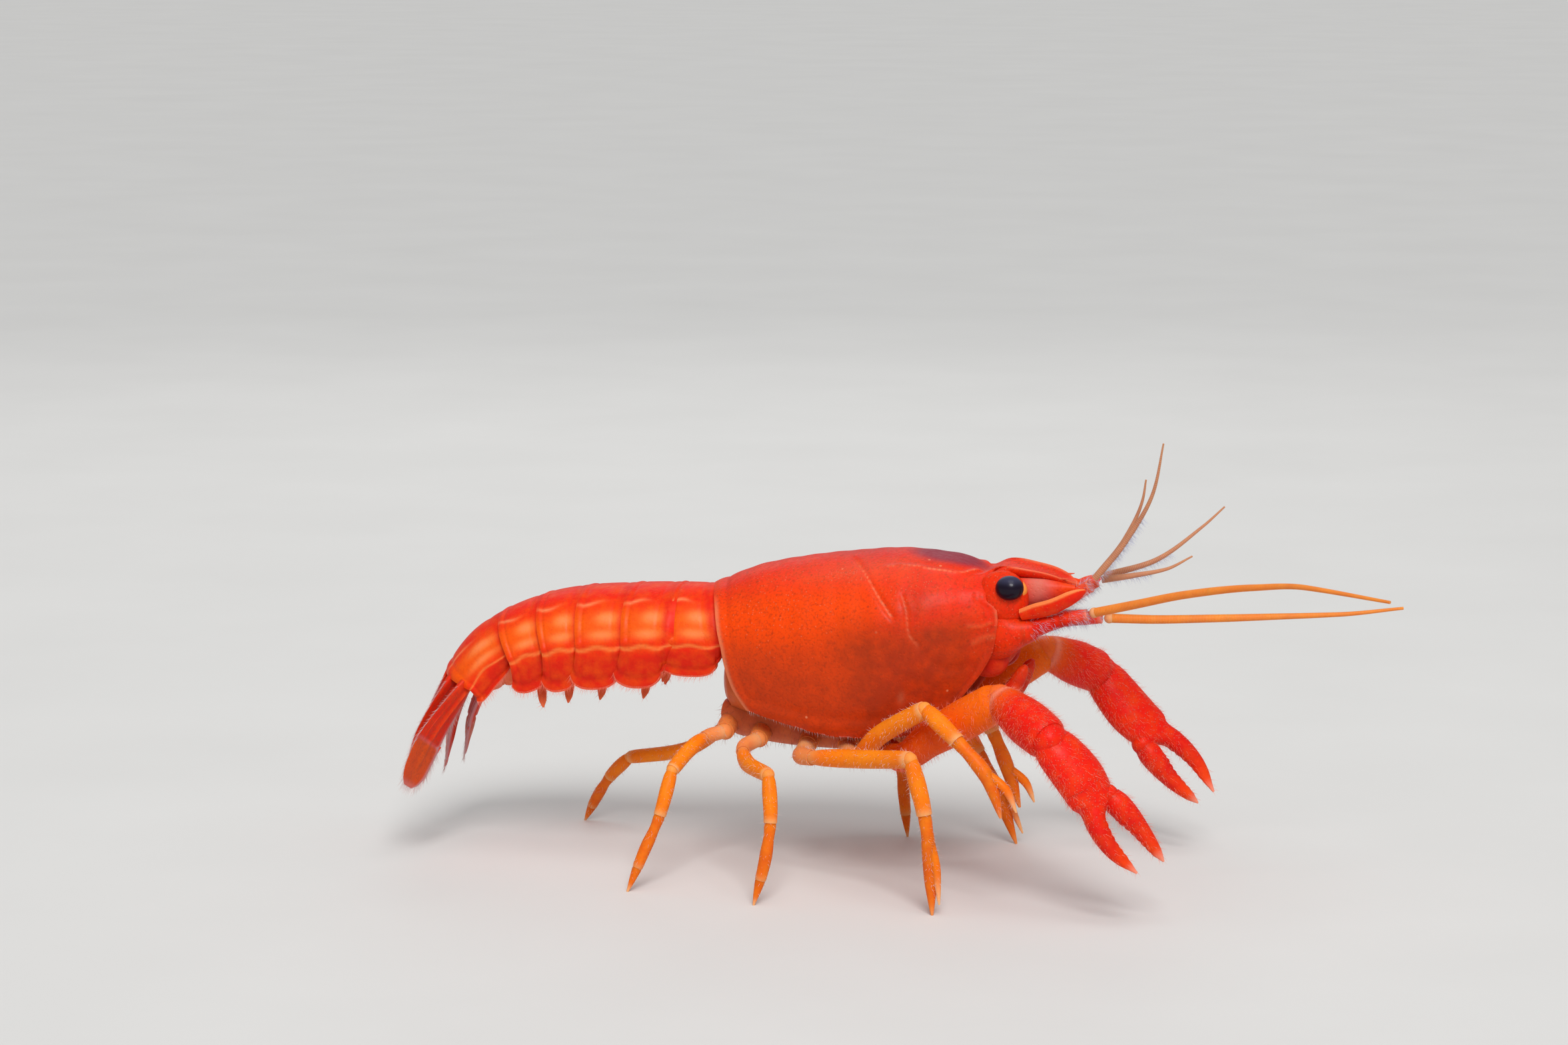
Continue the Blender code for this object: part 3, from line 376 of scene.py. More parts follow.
def unit(vector):
    vector = np.asarray(vector, float)
    return vector / np.linalg.norm(vector, axis=-1, keepdims=True)


def mirrored(point, side):
    return (point[0], point[1] * side, point[2])


def mirrored_line(points, side):
    return [mirrored(point, side) for point in points]


def shares(count):
    """Even steps from 0 to 1."""
    return np.linspace(0.0, 1.0, count)


def all_round(count):
    """Even steps of a full turn, without its end."""
    return np.linspace(0.0, 2.0 * math.pi, count, endpoint=False)


def route(joints, places):
    """Points of the smooth line through the joints, at these shares of its length."""
    joints = np.array(joints, float)
    along = np.concatenate([[0.0], np.cumsum(np.linalg.norm(np.diff(joints, axis=0), axis=1))])
    share = along / along[-1]
    return np.stack([profile(list(zip(share, column)), places) for column in joints.T], axis=1)


def ramp(value, low, high):
    """0 below low, 1 above high, and a smooth rise between them."""
    t = np.clip((np.asarray(value, float) - low) / (high - low), 0.0, 1.0)
    return t * t * (3.0 - 2.0 * t)


def bell(value, centre, width):
    """1 at the centre, fading on both sides over this width."""
    return np.exp(-(((np.asarray(value, float) - centre) / width) ** 2))


trial = profile(((0.0, 0.0), (1.0, 1.0), (2.0, 1.0)), 2.0 * shares(5))
print("a curve up from 0 to 1 and level from there:", trial.round(2))

# %% [markdown]
# ## Skins and pieces
#
# A skin is a closed surface over a row of rings, like the ribs of a boat under canvas. A swept
# curve would make a tube too, but here each ring can take its own shape first. The skin carries its
# painted masks point by point. A piece is one or more skins that stand for one plate of the animal.

# %% Skins
MASKS = ("gold", "pale", "deep", "cool", "grain", "hair")


def skin(rings, finish, **masks):
    """A closed surface over rings. A mask is one number, one for each ring, or one for each point."""
    rings = np.asarray(rings, float)
    rows, size = rings.shape[:2]
    grid = np.arange(rows * size).reshape(rows, size)
    following = np.roll(grid, -1, axis=1)
    faces = np.stack([grid[:-1], following[:-1], following[1:], grid[1:]], axis=-1).reshape(-1, 4).tolist()
    points = rings.reshape(-1, 3)
    values = dict(masks)
    for name, value in masks.items():
        value = np.asarray(value, float)
        value = value[:, None] if value.ndim == 1 else value
        values[name] = np.broadcast_to(value, (rows, size)).reshape(-1)
    for row in (0, rows - 1):
        centre = len(points)
        points = np.vstack([points, rings[row].mean(axis=0)])
        values = {name: np.append(value, value[grid[row]].mean()) for name, value in values.items()}
        pairs = zip(following[row], grid[row]) if row == 0 else zip(grid[row], following[row])
        faces += [(int(a), int(b), centre) for a, b in pairs]
    corners = points - points.mean(axis=0)
    triangles = np.array([(f[0], f[i], f[i + 1]) for f in faces for i in range(1, len(f) - 1)])
    a, b, c = (corners[triangles[:, k]] for k in range(3))
    if np.einsum("ij,ij->", a, np.cross(b, c)) < 0.0:
        faces = [face[::-1] for face in faces]
    return {"points": points, "faces": faces, "finish": finish, "masks": values}


def ball(centre, radii, finish, rows=14, size=24, **masks):
    """A round or oval knob."""
    turn = np.linspace(0.0, math.pi, rows + 2)[1:-1]
    around = all_round(size)
    radii = np.broadcast_to(radii, 3)
    rings = [
        np.stack([
            np.full(size, -math.cos(t) * radii[0]), np.cos(around) * math.sin(t) * radii[1],
            np.sin(around) * math.sin(t) * radii[2],
        ], axis=1)
        for t in turn
    ]
    return skin(np.array(rings) + np.asarray(centre, float), finish, **masks)


print("faces of a small ball:", len(ball((0.0, 0.0, 0.0), 1.0, "soft_skin")["faces"]))

# %% Pieces
def dressed(name, mesh):
    """A finished mesh as a piece of the body."""
    made = linked(name, mesh)
    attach(made, "root")
    return made


def mesh_of(name, skins):
    """The skins as one mesh that carries their painted masks."""
    counts = np.cumsum([0] + [len(part["points"]) for part in skins])
    points = np.concatenate([part["points"] for part in skins]) * MM
    faces = [[i + start for i in face] for part, start in zip(skins, counts) for face in part["faces"]]
    mesh = bpy.data.meshes.new(name)
    mesh.from_pydata(points.tolist(), [], faces)
    for mask in MASKS:
        values = [part["masks"].get(mask, np.zeros(len(part["points"]))) for part in skins]
        mesh.attributes.new(mask, "FLOAT", "POINT").data.foreach_set("value", np.concatenate(values))
    return mesh


FUR = {}  # skins that grow hairs together, by the name of their group
SHARP = math.radians(50.0)


def piece(name, skins, nodes, fur=None):
    """One plate or limb of the animal. It stands for these nodes, and joins this group of fur."""
    if fur:
        FUR.setdefault(fur, []).extend(skins)
    mesh = mesh_of(name, skins)
    used = list(dict.fromkeys(part["finish"] for part in skins))
    for finish in used:
        mesh.materials.append(FINISHES[finish])
    index = [used.index(part["finish"]) for part in skins for _ in part["faces"]]
    mesh.polygons.foreach_set("material_index", index)
    mesh.shade_smooth()
    mesh.set_sharp_from_angle(angle=SHARP)
    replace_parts(dressed(name, mesh), *nodes)
    print(f"{name}: {len(mesh.polygons)} faces, stands for {', '.join(nodes)}")


# %% Tubes
def tube(joints, widths, heights=None, *, places, wide=LEFT, sides=24, bow=0.0, shape=1.0):
    """Rings of a limb along the line through its joints, at these shares of its length.

    widths and heights are (share, half size) across and along the third direction. bow bends a flat section
    into a trough. shape swells or narrows each ring, or each point of each ring.
    """
    line = route(joints, places)
    forward = np.gradient(line, places, axis=0)
    turn = all_round(sides)
    shape = np.asarray(shape, float)
    shape = shape[:, None] if shape.ndim == 1 else shape
    shape = np.broadcast_to(shape, (len(places), sides))
    rings = []
    for place, centre, ahead, swell in zip(places, line, forward, shape):
        ahead = unit(ahead)
        across = unit(np.asarray(wide) - ahead * np.dot(wide, ahead))
        up = np.cross(ahead, across)
        half = profile(widths, place)
        high = profile(heights or widths, place)
        lift = -bow * np.cos(turn) ** 2 * half
        ring = np.outer(np.cos(turn) * half, across) + np.outer(np.sin(turn) * high + lift, up)
        rings.append(centre + ring * swell[:, None])
    return np.array(rings)


def article(joints, widths, span, finish, neck=0.84, lip=0.035, rows=30, mouth=True, shape=1.0, **options):
    """One hard length of a limb: a narrow neck inside the length before it, and a thin flared mouth."""
    masks = {name: options.pop(name) for name in MASKS if name in options}
    share = shares(rows)
    swell = (neck + (1.0 - neck) * ramp(share, 0.0, 0.14)) * (1.0 + lip * bell(share, 0.96, 0.05))
    shape = np.asarray(shape, float)
    shape = swell[:, None] * (shape[:, None] if shape.ndim == 1 else shape)
    places = span[0] + (span[1] - span[0]) * share
    rings = list(tube(joints, widths, places=places, shape=shape, **options))
    if mouth:
        last, before = rings[-1], rings[-2]
        centre = last.mean(axis=0)
        back = unit(before.mean(axis=0) - centre)
        rings.append(centre + (last - centre) * 0.88)
        rings.append(centre + (last - centre) * 0.8 + back * 0.12)
        share = np.append(share, [1.0, 1.0])
    masks = {name: value(share) if callable(value) else value for name, value in masks.items()}
    return skin(rings, finish, **masks)


trial = tube(((0.0, 0.0, 0.0), (1.0, 0.0, 0.0)), ((0.0, 0.2), (1.0, 0.1)), places=shares(3))
print("half widths of a short tube:", [round(float(np.ptp(ring[:, 1])) / 2.0, 3) for ring in trial])

# %% [markdown]
# ## The shell of the head and back
#
# One plate covers the head and the back down to the legs. It is thin at its edges, and grooves and
# ridges run over it: the neck groove, a short second groove in front of it, a ridge behind each
# eye, and a raised rim. It could be cut with Booleans, but each groove would then have a hard edge.
# Here the smooth shell is worked out point by point first, and each point is then pushed in or out
# by the depth of the groove or the height of the ridge there. A place on the shell is its x and its
# share of the turn: 0 on the back, 1 at the lower edge.

# %% Outlines of the shell
SHELL_BACK = (
    (-8.7, 13.65), (-6.3, 14.65), (-4.2, 15.1), (-2.1, 15.4), (0.6, 15.66), (2.5, 15.53), (3.8, 15.29),
    (4.8, 15.13), (5.6, 15.0),
)
SHELL_MARGIN = ((-6.4, 8.1), (-4.3, 7.6), (-1.8, 7.15), (0.5, 7.2), (2.5, 7.8), (3.4, 8.4), (5.6, 9.6))
SHELL_HALF_WIDTH = (
    (-8.7, 2.95), (-6.0, 3.6), (-3.0, 4.05), (0.0, 4.1), (2.2, 3.7), (3.8, 3.15), (5.6, 2.4),
)
SHELL_MIDDLE = ((-8.7, 11.0), (-3.0, 11.2), (1.0, 11.6), (5.6, 12.5))
SHELL_TURN = math.radians(125.0)
SHELL_SQUARENESS = ((0.0, 0.92), (3.5, 0.7))
SHELL_REAR = ((0.0, -8.7), (0.45, -8.0), (0.7, -7.6), (0.88, -7.1), (1.0, -6.4))
SHELL_FRONT = (
    (0.0, 5.6), (0.22, 5.45), (0.34, 4.95), (0.46, 5.0), (0.56, 5.5), (0.68, 5.55), (0.8, 5.4),
    (0.88, 4.9), (1.0, 3.3),
)
BEAK_EDGE = ((4.6, 15.02), (5.1, 15.2), (5.7, 15.27), (6.85, 15.12), (7.6, 14.97), (8.3, 14.7), (9.0, 14.3))
BEAK_HALF_WIDTH = (
    (4.6, 1.35), (5.6, 1.32), (7.2, 1.12), (8.2, 0.86), (8.45, 0.62), (8.75, 0.3), (9.0, 0.08),
)
BEAK_THICKNESS = ((4.6, 0.85), (6.5, 0.62), (8.4, 0.4), (9.0, 0.15))
BEAK_TROUGH = 0.28
BEAK_SHARE = 0.27  # the part of the section that runs on into the beak
BEAK_SPINE = (8.25, 0.76, 14.64)


def shell_base(x, share):
    """A point of the smooth shell, from its right margin (share -1) over the back (0) to the left (1)."""
    turn = np.abs(share) * SHELL_TURN
    half, top = profile(SHELL_HALF_WIDTH, x), profile(SHELL_BACK, x)
    middle, low = profile(SHELL_MIDDLE, x), profile(SHELL_MARGIN, x)
    fall = np.where(turn < math.pi / 2, top - middle, (low - middle) / math.cos(SHELL_TURN))
    y = np.sign(share) * half * np.sin(turn) ** profile(SHELL_SQUARENESS, x)
    z = middle + fall * np.cos(turn)
    return np.stack([x, y, z], axis=-1)


def beak_base(x, share):
    """The trough of the beak between its two raised edges, and the steep side below each edge."""
    half, edge = profile(BEAK_HALF_WIDTH, x), profile(BEAK_EDGE, x)
    inside = np.clip(share / BEAK_SHARE, -1.0, 1.0)
    beyond = np.maximum(np.abs(share) / BEAK_SHARE - 1.0, 0.0)
    y = half * (inside + np.sign(share) * 0.5 * beyond)
    trough = BEAK_TROUGH * np.minimum(1.0, half)
    z = edge - trough * (1.0 - np.abs(inside) ** 2.4) - 1.5 * beyond
    return np.stack([x, y, z], axis=-1)


def head_point(x, share):
    """The shell, turning into the beak in front of the eyes."""
    beak = ramp(x, 3.4, 5.5) * (1.0 - ramp(np.abs(share), 0.28, 0.4))
    return shell_base(x, share) * (1.0 - beak[..., None]) + beak_base(x, share) * beak[..., None]


print("the shell and its beak are", BEAK_EDGE[-1][0] - SHELL_BACK[0][0], "mm long")

# %% Grooves and ridges of the shell
AROUND = SHELL_TURN * 4.0  # length of the section from the middle of the back to the margin
LINES = {  # (x, share) along each mark
    "neck": ((-2.0, 0.04), (-0.9, 0.25), (-0.1, 0.4), (0.55, 0.505), (0.85, 0.55)),
    "second": ((1.2, 0.43), (1.5, 0.53), (1.6, 0.625), (1.85, 0.69), (2.1, 0.72)),
    "low": ((2.1, 0.72), (2.8, 0.79), (3.6, 0.83), (4.4, 0.84)),
    "brow": ((0.2, 0.238), (1.4, 0.222), (2.4, 0.234), (3.75, 0.225), (4.3, 0.15)),
    "cheek": ((4.3, 0.66), (4.8, 0.675), (5.25, 0.665)),
    "low_cheek": ((4.5, 0.755), (5.0, 0.745), (5.5, 0.755)),
}
FAR = 9.0  # further than any mark reaches
print("marks on the shell:", ", ".join(LINES))


def nearness(name, x, part, width):
    """1 on the line of a mark, fading over this width in millimetres."""
    line = route(LINES[name], shares(16))
    nearest = np.full(np.shape(x), FAR)
    for start, end in zip(line[:-1], line[1:]):
        run, fall = end[0] - start[0], (end[1] - start[1]) * AROUND
        ahead, below = x - start[0], (part - start[1]) * AROUND
        t = np.clip((ahead * run + below * fall) / (run**2 + fall**2), 0.0, 1.0)
        nearest = np.minimum(nearest, np.hypot(ahead - t * run, below - t * fall))
    return bell(nearest, 0.0, width)


def patch(x, part, middle, size):
    """An oval patch about a place (x, share) of the shell, of this size in x and in share."""
    return np.exp(-(((x - middle[0]) / size[0]) ** 2) - ((part - middle[1]) / size[1]) ** 2)


def edges(x, part):
    """The distances from the shell's rear and lower edges, and from its front edge."""
    from_margin = np.where(x < 3.6, (1.0 - part) * AROUND, FAR)
    inset = np.minimum(x - profile(SHELL_REAR, part), from_margin)
    from_front = profile(SHELL_FRONT, part) - x + FAR * (1.0 - ramp(part, 0.34, 0.4))
    return inset, from_front


# %% What the marks do to the shell
def relief(x, part):
    """How far the shell stands out, in millimetres."""
    inset, from_front = edges(x, part)
    height = -0.11 * nearness("neck", x, part, 0.14) * ramp(part, 0.06, 0.22)
    height = height - 0.06 * nearness("second", x, part, 0.11) - 0.04 * nearness("low", x, part, 0.14)
    height = height + 0.08 * nearness("brow", x, part, 0.16)
    height = height + 0.035 * (nearness("cheek", x, part, 0.13) + nearness("low_cheek", x, part, 0.13))
    height = height + 0.02 * np.sin(3.1 * x + 9.0 * part) * np.sin(2.3 * x - 14.0 * part)
    height = height - 0.04 * bell(inset, 0.6, 0.16) + 0.035 * bell(inset, 0.25, 0.2)
    return height - 0.03 * bell(from_front, 0.42, 0.14) + 0.03 * bell(from_front, 0.12, 0.14)


def shell_masks(x, part):
    """The painted masks of the shell, with painted shade on its lower flank and painted highlights on its
    back and rear rim.
    """
    inset, from_front = edges(x, part)
    side = ramp(part, 0.2, 0.5)
    rear = 1.0 - ramp(x, -1.5, 2.6)
    beads = 0.6 + 0.4 * np.sin(part * 190.0 + 2.0 * np.sin(x * 9.0))
    neck = nearness("neck", x, part, 0.09) * ramp(part, 0.04, 0.2) * beads
    brow = nearness("brow", x, part, 0.055) * (0.6 + 0.4 * ramp(x, 1.0, 2.2))
    brow = brow * (0.7 + 0.3 * np.sin(x * 26.0))
    second = nearness("second", x, part, 0.06) * beads
    cheeks = np.minimum(nearness("cheek", x, part, 0.1) + nearness("low_cheek", x, part, 0.1), 1.0)
    gold = 0.95 * side * rear + 0.35 * patch(x, part, (3.6, 0.8), (1.6, 0.25))
    gold = np.maximum.reduce([gold, 0.4 * bell(inset, 0.15, 0.2), 0.7 * neck, 0.6 * second, 0.8 * cheeks])
    pale = np.maximum.reduce([
        0.45 * nearness("neck", x, part, 0.05) * ramp(part, 0.1, 0.25) * beads, 0.2 * second, 0.6 * brow,
        # a painted highlight along the rear rim, on the sides of the shell
        0.4 * bell(x - profile(SHELL_REAR, part), 0.08, 0.12) * ramp(part, 0.25, 0.45),
        0.3 * bell(from_front, 0.02, 0.07) * bell(part, 0.6, 0.1), 0.08 * cheeks,
        0.15 * patch(x, part, (1.3, 0.87), (0.16, 0.018)),
        # a painted highlight: a soft pale band over the upper shoulders of the shell
        0.12 * bell(part, 0.24, 0.1) * bell(x, -1.0, 4.0),
    ])
    deep = np.maximum.reduce([
        # painted shade: the first and third terms darken the lower flank; the two patches and the band
        # along the low groove darken it further
        0.8 * ramp(part, 0.48, 0.72) * ramp(x, -4.5, 0.0) * (1.0 - 0.7 * ramp(x, 3.8, 5.2)),
        0.9 * patch(x, part, (2.7, 0.68), (1.35, 0.1)), 0.6 * ramp(part, 0.55, 0.85),
        0.4 * patch(x, part, (2.0, 0.52), (1.0, 0.12)), 0.4 * nearness("low", x, part, 0.2),
    ])
    cool = 0.85 * ramp(patch(x, part, (2.75, 0.0), (2.0, 0.15)), 0.15, 0.75)
    cool = np.maximum(cool, 0.22 * bell(part, 0.0, 0.2) * bell(x, -0.5, 2.0))
    grain = np.maximum.reduce([
        0.8 * patch(x, part, (-1.9, 0.28), (1.0, 0.05)), 0.5 * patch(x, part, (2.0, 0.38), (1.4, 0.09)),
        0.25 * patch(x, part, (-5.0, 0.4), (3.0, 0.3)), 0.25 * ramp(x, 4.0, 6.0),
    ])
    return {"gold": gold, "pale": pale, "deep": deep, "cool": cool, "grain": grain}


print("the middle of the neck groove is", round(float(-relief(-0.1, 0.4)), 2), "mm deep")

# %% Rings of the shell
UNDER = 11  # points of the hollow underside in each ring
TURNED_IN = ((0.14, 0.0), (0.2, 0.12), (0.5, 0.7))  # of the lower edge: inwards, and up
BEAK_START, BEAK_NARROWS, BEAK_END = 5.85, 8.3, 9.0


def closing(ring):
    """The ring with its turned-in lower edge on both sides, and the hollow underside between them."""
    right, left = ring[0], ring[-1]
    inward, rise = np.array(LEFT), np.array([0.0, 0.0, 1.0])
    across = np.array([0.2, 0.35, 0.5, 0.65, 0.8])[:, None]
    arch = left * (1.0 - across) + right * across + rise * (0.95 + 0.25 * np.sin(math.pi * across))
    near = [left - inward * a + rise * b for a, b in TURNED_IN]
    far = [right + inward * a + rise * b for a, b in TURNED_IN[::-1]]
    return np.concatenate([ring, near, arch, far])


def drawn_in(ring, by, back):
    """The ring moved in towards the middle of the body, and back along it."""
    x = ring[:, 0]
    centre = np.stack([x, np.zeros(len(x)), profile(SHELL_MIDDLE, x)], axis=-1)
    moved = ring + unit(centre - ring) * by
    moved[:, 0] += back
    return moved


def beak_ring(x, share, keep, around):
    """A ring of the beak: its trough on top, and its rounded underside."""
    ring = np.zeros((len(keep) + len(around), 3))
    ring[keep] = beak_base(np.full(len(keep), x), share[keep])
    sweep = np.linspace(0.0, math.pi, len(around) + 2)[1:-1]
    ring[around, 0] = x
    ring[around, 1] = profile(BEAK_HALF_WIDTH, x) * np.cos(sweep)
    ring[around, 2] = profile(BEAK_EDGE, x) - profile(BEAK_THICKNESS, x) * np.sin(sweep) ** 0.6
    return ring


def shell_skin():
    """The whole plate: its rings from the rear edge to the front, and on along the beak."""
    rim = np.linspace(0.9, 1.0, 12)[1:]
    share = np.concatenate([-rim[::-1], np.linspace(-0.9, 0.9, 139), rim])
    part = np.abs(share)
    rear, front = profile(SHELL_REAR, part), profile(SHELL_FRONT, part)
    x = rear + (front - rear) * shares(190)[:, None]
    wide = np.broadcast_to(share, x.shape)
    outer = head_point(x, wide)
    normal = unit(np.cross(np.gradient(outer, axis=1), np.gradient(outer, axis=0)))
    outward = np.stack([np.zeros_like(x), outer[..., 1], outer[..., 2] - profile(SHELL_MIDDLE, x)], axis=-1)
    normal = normal * np.sign(np.einsum("ijk,ijk->ij", normal, outward))[..., None]
    outer = outer + normal * relief(x, np.abs(wide))[..., None]
    rings = [closing(drawn_in(outer[0], by, back)) for by, back in ((0.55, 1.2), (0.3, 0.7), (0.12, 0.12))]
    rings += [closing(ring) for ring in outer]
    top = part <= BEAK_SHARE
    for by, back, ahead in ((0.1, 0.0, 0.2), (0.16, -0.12, 0.4), (0.35, -0.45, 0.67)):
        ring = drawn_in(outer[-1], by, back)
        ring[top] = beak_base((x[-1] + (BEAK_START - x[-1]) * ahead)[top], share[top])
        rings.append(closing(ring))
    masks = shell_masks(x, np.abs(wide))
    keep = np.where(top)[0]
    around = np.roll(np.arange(len(rings[-1])), -(keep[-1] + 1))[: -len(keep)]
    tapering = np.linspace(BEAK_NARROWS + 0.06, BEAK_END, 14)
    beak = np.concatenate([np.linspace(BEAK_START, BEAK_NARROWS, 34), tapering])
    rings += [beak_ring(at, share, keep, around) for at in beak]
    flat = np.abs(np.concatenate([share, np.ones(UNDER)]))
    rim = bell(flat, BEAK_SHARE * 0.96, 0.03) * ramp(beak, 5.6, 6.2)[:, None]
    tip = ramp(beak, 8.2, 9.0)[:, None]
    on_beak = {"gold": 0.5 * rim, "pale": 0.3 * np.maximum(rim, tip), "grain": 0.3}
    for name, value in masks.items():
        value = np.pad(value, ((3, 3), (0, UNDER)), "edge")
        here = np.broadcast_to(on_beak.get(name, 0.0), (len(beak), len(flat)))
        masks[name] = np.concatenate([value, here])
    print("shell rings:", len(rings), "of", len(flat), "points")
    return skin(rings, "shell_chitin", **masks)


# %% Spines of the shell, and the finished piece
def spine(base, tip, half, finish, pale=0.5, **options):
    """A small sharp spine."""
    taper = ((0.0, half), (0.5, half * 0.62), (1.0, half * 0.12))
    places = shares(8)
    return skin(tube((base, tip), taper, places=places, sides=10, **options), finish, pale=pale * places)


shell_skins = [shell_skin()]
for side in SIDES.values():
    base = mirrored(np.subtract(BEAK_SPINE, (0.6, 0.02, 0.08)), side)
    tip = mirrored(np.add(BEAK_SPINE, (0.3, 0.02, 0.06)), side)
    shell_skins.append(spine(base, tip, 0.13, "shell_chitin", pale=0.25))
piece("carapace_plate", shell_skins, ["carapace"])

# %% [markdown]
# ## The tail
#
# Six rings of armour slide under one another like roof tiles, so the tail can bend. Each is arched
# over the back and hangs down in a rounded lobe on both sides. They could be modelled one after
# another, but all six follow one rule with their own widths and depths, so one function makes them.

# %% Outlines of the tail
TAIL_BACK = (
    (-8.7, 13.6), (-10.5, 13.55), (-12.7, 13.42), (-15.1, 13.2), (-16.3, 12.98), (-17.3, 12.7),
    (-18.8, 12.1), (-20.6, 11.0), (-21.7, 9.75), (-22.15, 8.9), (-22.4, 7.8),
)
SEGMENT_ENDS = (0.0, 1.78, 4.02, 6.42, 8.62, 10.85, 15.0)
SEGMENT_HALF_WIDTH = (2.72, 3.0, 3.02, 2.95, 2.78, 2.42)
SEGMENT_LOBE = (4.1, 4.65, 4.65, 4.55, 4.1, 2.9)
SEGMENT_CORE = (2.5, 2.5, 2.5, 2.45, 2.3, 1.9)
LOBE_NOTCH = 0.84
BELLY_DEPTH = (3.1, 3.15, 3.15, 3.1, 2.9, 2.3)
SHELL_CLEARANCE = 0.45
OVERLAP = 0.6  # of a ring under the one in front of it
print("the rings of the tail measure", SEGMENT_ENDS[-1], "mm along the back")


def tail_frame(length):
    """The point on the back at this length from the shell, and the directions back and down there."""
    points = np.array(TAIL_BACK)
    along = np.concatenate([[0.0], np.cumsum(np.linalg.norm(np.diff(points, axis=0), axis=1))])
    xs, zs = list(zip(along, points[:, 0])), list(zip(along, points[:, 1]))
    step = 0.6
    point = np.array([float(profile(xs, length)), 0.0, float(profile(zs, length))])
    if length < 0.0:
        point[0] -= length
    before, after = max(length - step, 0.0), max(length, 0.0) + step
    back = unit([profile(xs, after) - profile(xs, before), 0.0, profile(zs, after) - profile(zs, before)])
    return point, back, np.array([-back[2], 0.0, back[0]])


def shell_edge_at(height):
    """Where the rear edge of the shell stands at this height."""
    share = np.linspace(1.0, 0.0, 41)
    edge = shell_base(profile(SHELL_REAR, share), share)
    return np.interp(height, edge[:, 2], edge[:, 0])


# %% The section of a ring
SECTION = np.linspace(-1.0, 1.0, 121)  # from the right lobe over the back to the left one
PART = np.abs(SECTION)
BEND = 0.68  # the share where the arch turns into the hanging lobe
TURN = np.minimum(PART / BEND, 1.0) * math.pi / 2
DROP = np.clip((PART - BEND) / (1.0 - BEND), 0.0, 1.0)


def segment_span(index):
    """Where a ring starts and ends along the tail, and its overlap as a share of that."""
    first, last = SEGMENT_ENDS[index] + (0.0 if index else SHELL_CLEARANCE), SEGMENT_ENDS[index + 1]
    return first, last, OVERLAP / (last - first)


def ring_relief(place):
    """How far a section stands out, in millimetres."""
    height = 0.03 * bell(place, 0.93, 0.05) - 0.03 * bell(place, 0.2, 0.05) * (1.0 - DROP)
    height = height - 0.03 * bell(place, 0.84, 0.03)
    height = height + 0.07 * bell(PART, BEND - 0.02, 0.03) * ramp(place, 0.1, 0.4)
    height = height + 0.1 * bell(PART, BEND + 0.05, 0.04) * bell(place, 0.12, 0.09)
    return height - 0.07 * bell(DROP, 0.78, 0.08) + 0.04 * bell(DROP, 0.95, 0.06)


def below(edge, reach, belly):
    """The inner sides of the lobes and the belly between them: across, and depth."""
    inner = [(edge, reach - 0.04), (edge - 0.06, (reach + belly) / 2.0), (edge - 0.3, belly + 0.12)]
    inner += [(edge * t, belly + 0.16 * math.sin(math.pi * (1.0 - t))) for t in (0.8, 0.6, 0.4, 0.2)]
    inner += [(0.0, belly + 0.05)]
    return np.array(inner + [(-a, b) for a, b in inner[-2::-1]]).T


BELOW = below(2.0, 4.0, 3.0).shape[1]
print("points of a section:", len(SECTION), "above and", BELOW, "below")

# %% One ring of armour
LOBE_EDGES = []


def section(index, place, shrink=0.0, shift=0.0):
    """The closed section of a ring at this share of its length."""
    first, last, tuck = segment_span(index)
    half, core, lobe = SEGMENT_HALF_WIDTH[index], SEGMENT_CORE[index], SEGMENT_LOBE[index]
    point, back, down = tail_frame(first + (last - first) * place + shift)
    inside = np.clip(place, 0.0, 1.0)
    swell = 1.0 - 0.05 * (1.0 - inside) ** 2 - 0.07 * ramp(-place, 0.0, tuck)
    scallop = (1.0 - abs(2.0 * inside - 1.0) ** 2.6) ** 0.6
    reach = lobe * (LOBE_NOTCH + (1.0 - LOBE_NOTCH) * scallop) * (1.0 - 0.2 * ramp(-place, 0.0, tuck))
    across = np.sign(SECTION) * half * swell * np.sin(TURN) ** 0.9 * (1.0 - 0.1 * DROP**2)
    depth = core * (1.0 - np.cos(TURN)) + (reach - core) * DROP + 0.12 * (1.0 - swell) * core
    height = ring_relief(place) - shrink
    tilt = np.where(PART < BEND, TURN, math.pi / 2)
    across = across + np.sign(SECTION) * np.sin(tilt) * height
    depth = depth - np.cos(tilt) * height
    lean = 0.35 * DROP * (lobe / 4.6) + 0.25 * DROP**3 * ramp(place, 0.4, 1.0)
    under, deeper = below(abs(across[-1]) - 0.16, reach, BELLY_DEPTH[index])
    across, depth = np.append(across, under), np.append(depth, deeper)
    lean = np.append(lean, np.full(len(under), lean[-1] * 0.8))
    ring = point + np.outer(depth, down) + np.outer(lean, back)
    ring[:, 1] += across
    if index == 0:
        ring[:, 0] += (1.0 - inside) * (shell_edge_at(ring[:, 2]) - TAIL_BACK[0][0])
    return ring


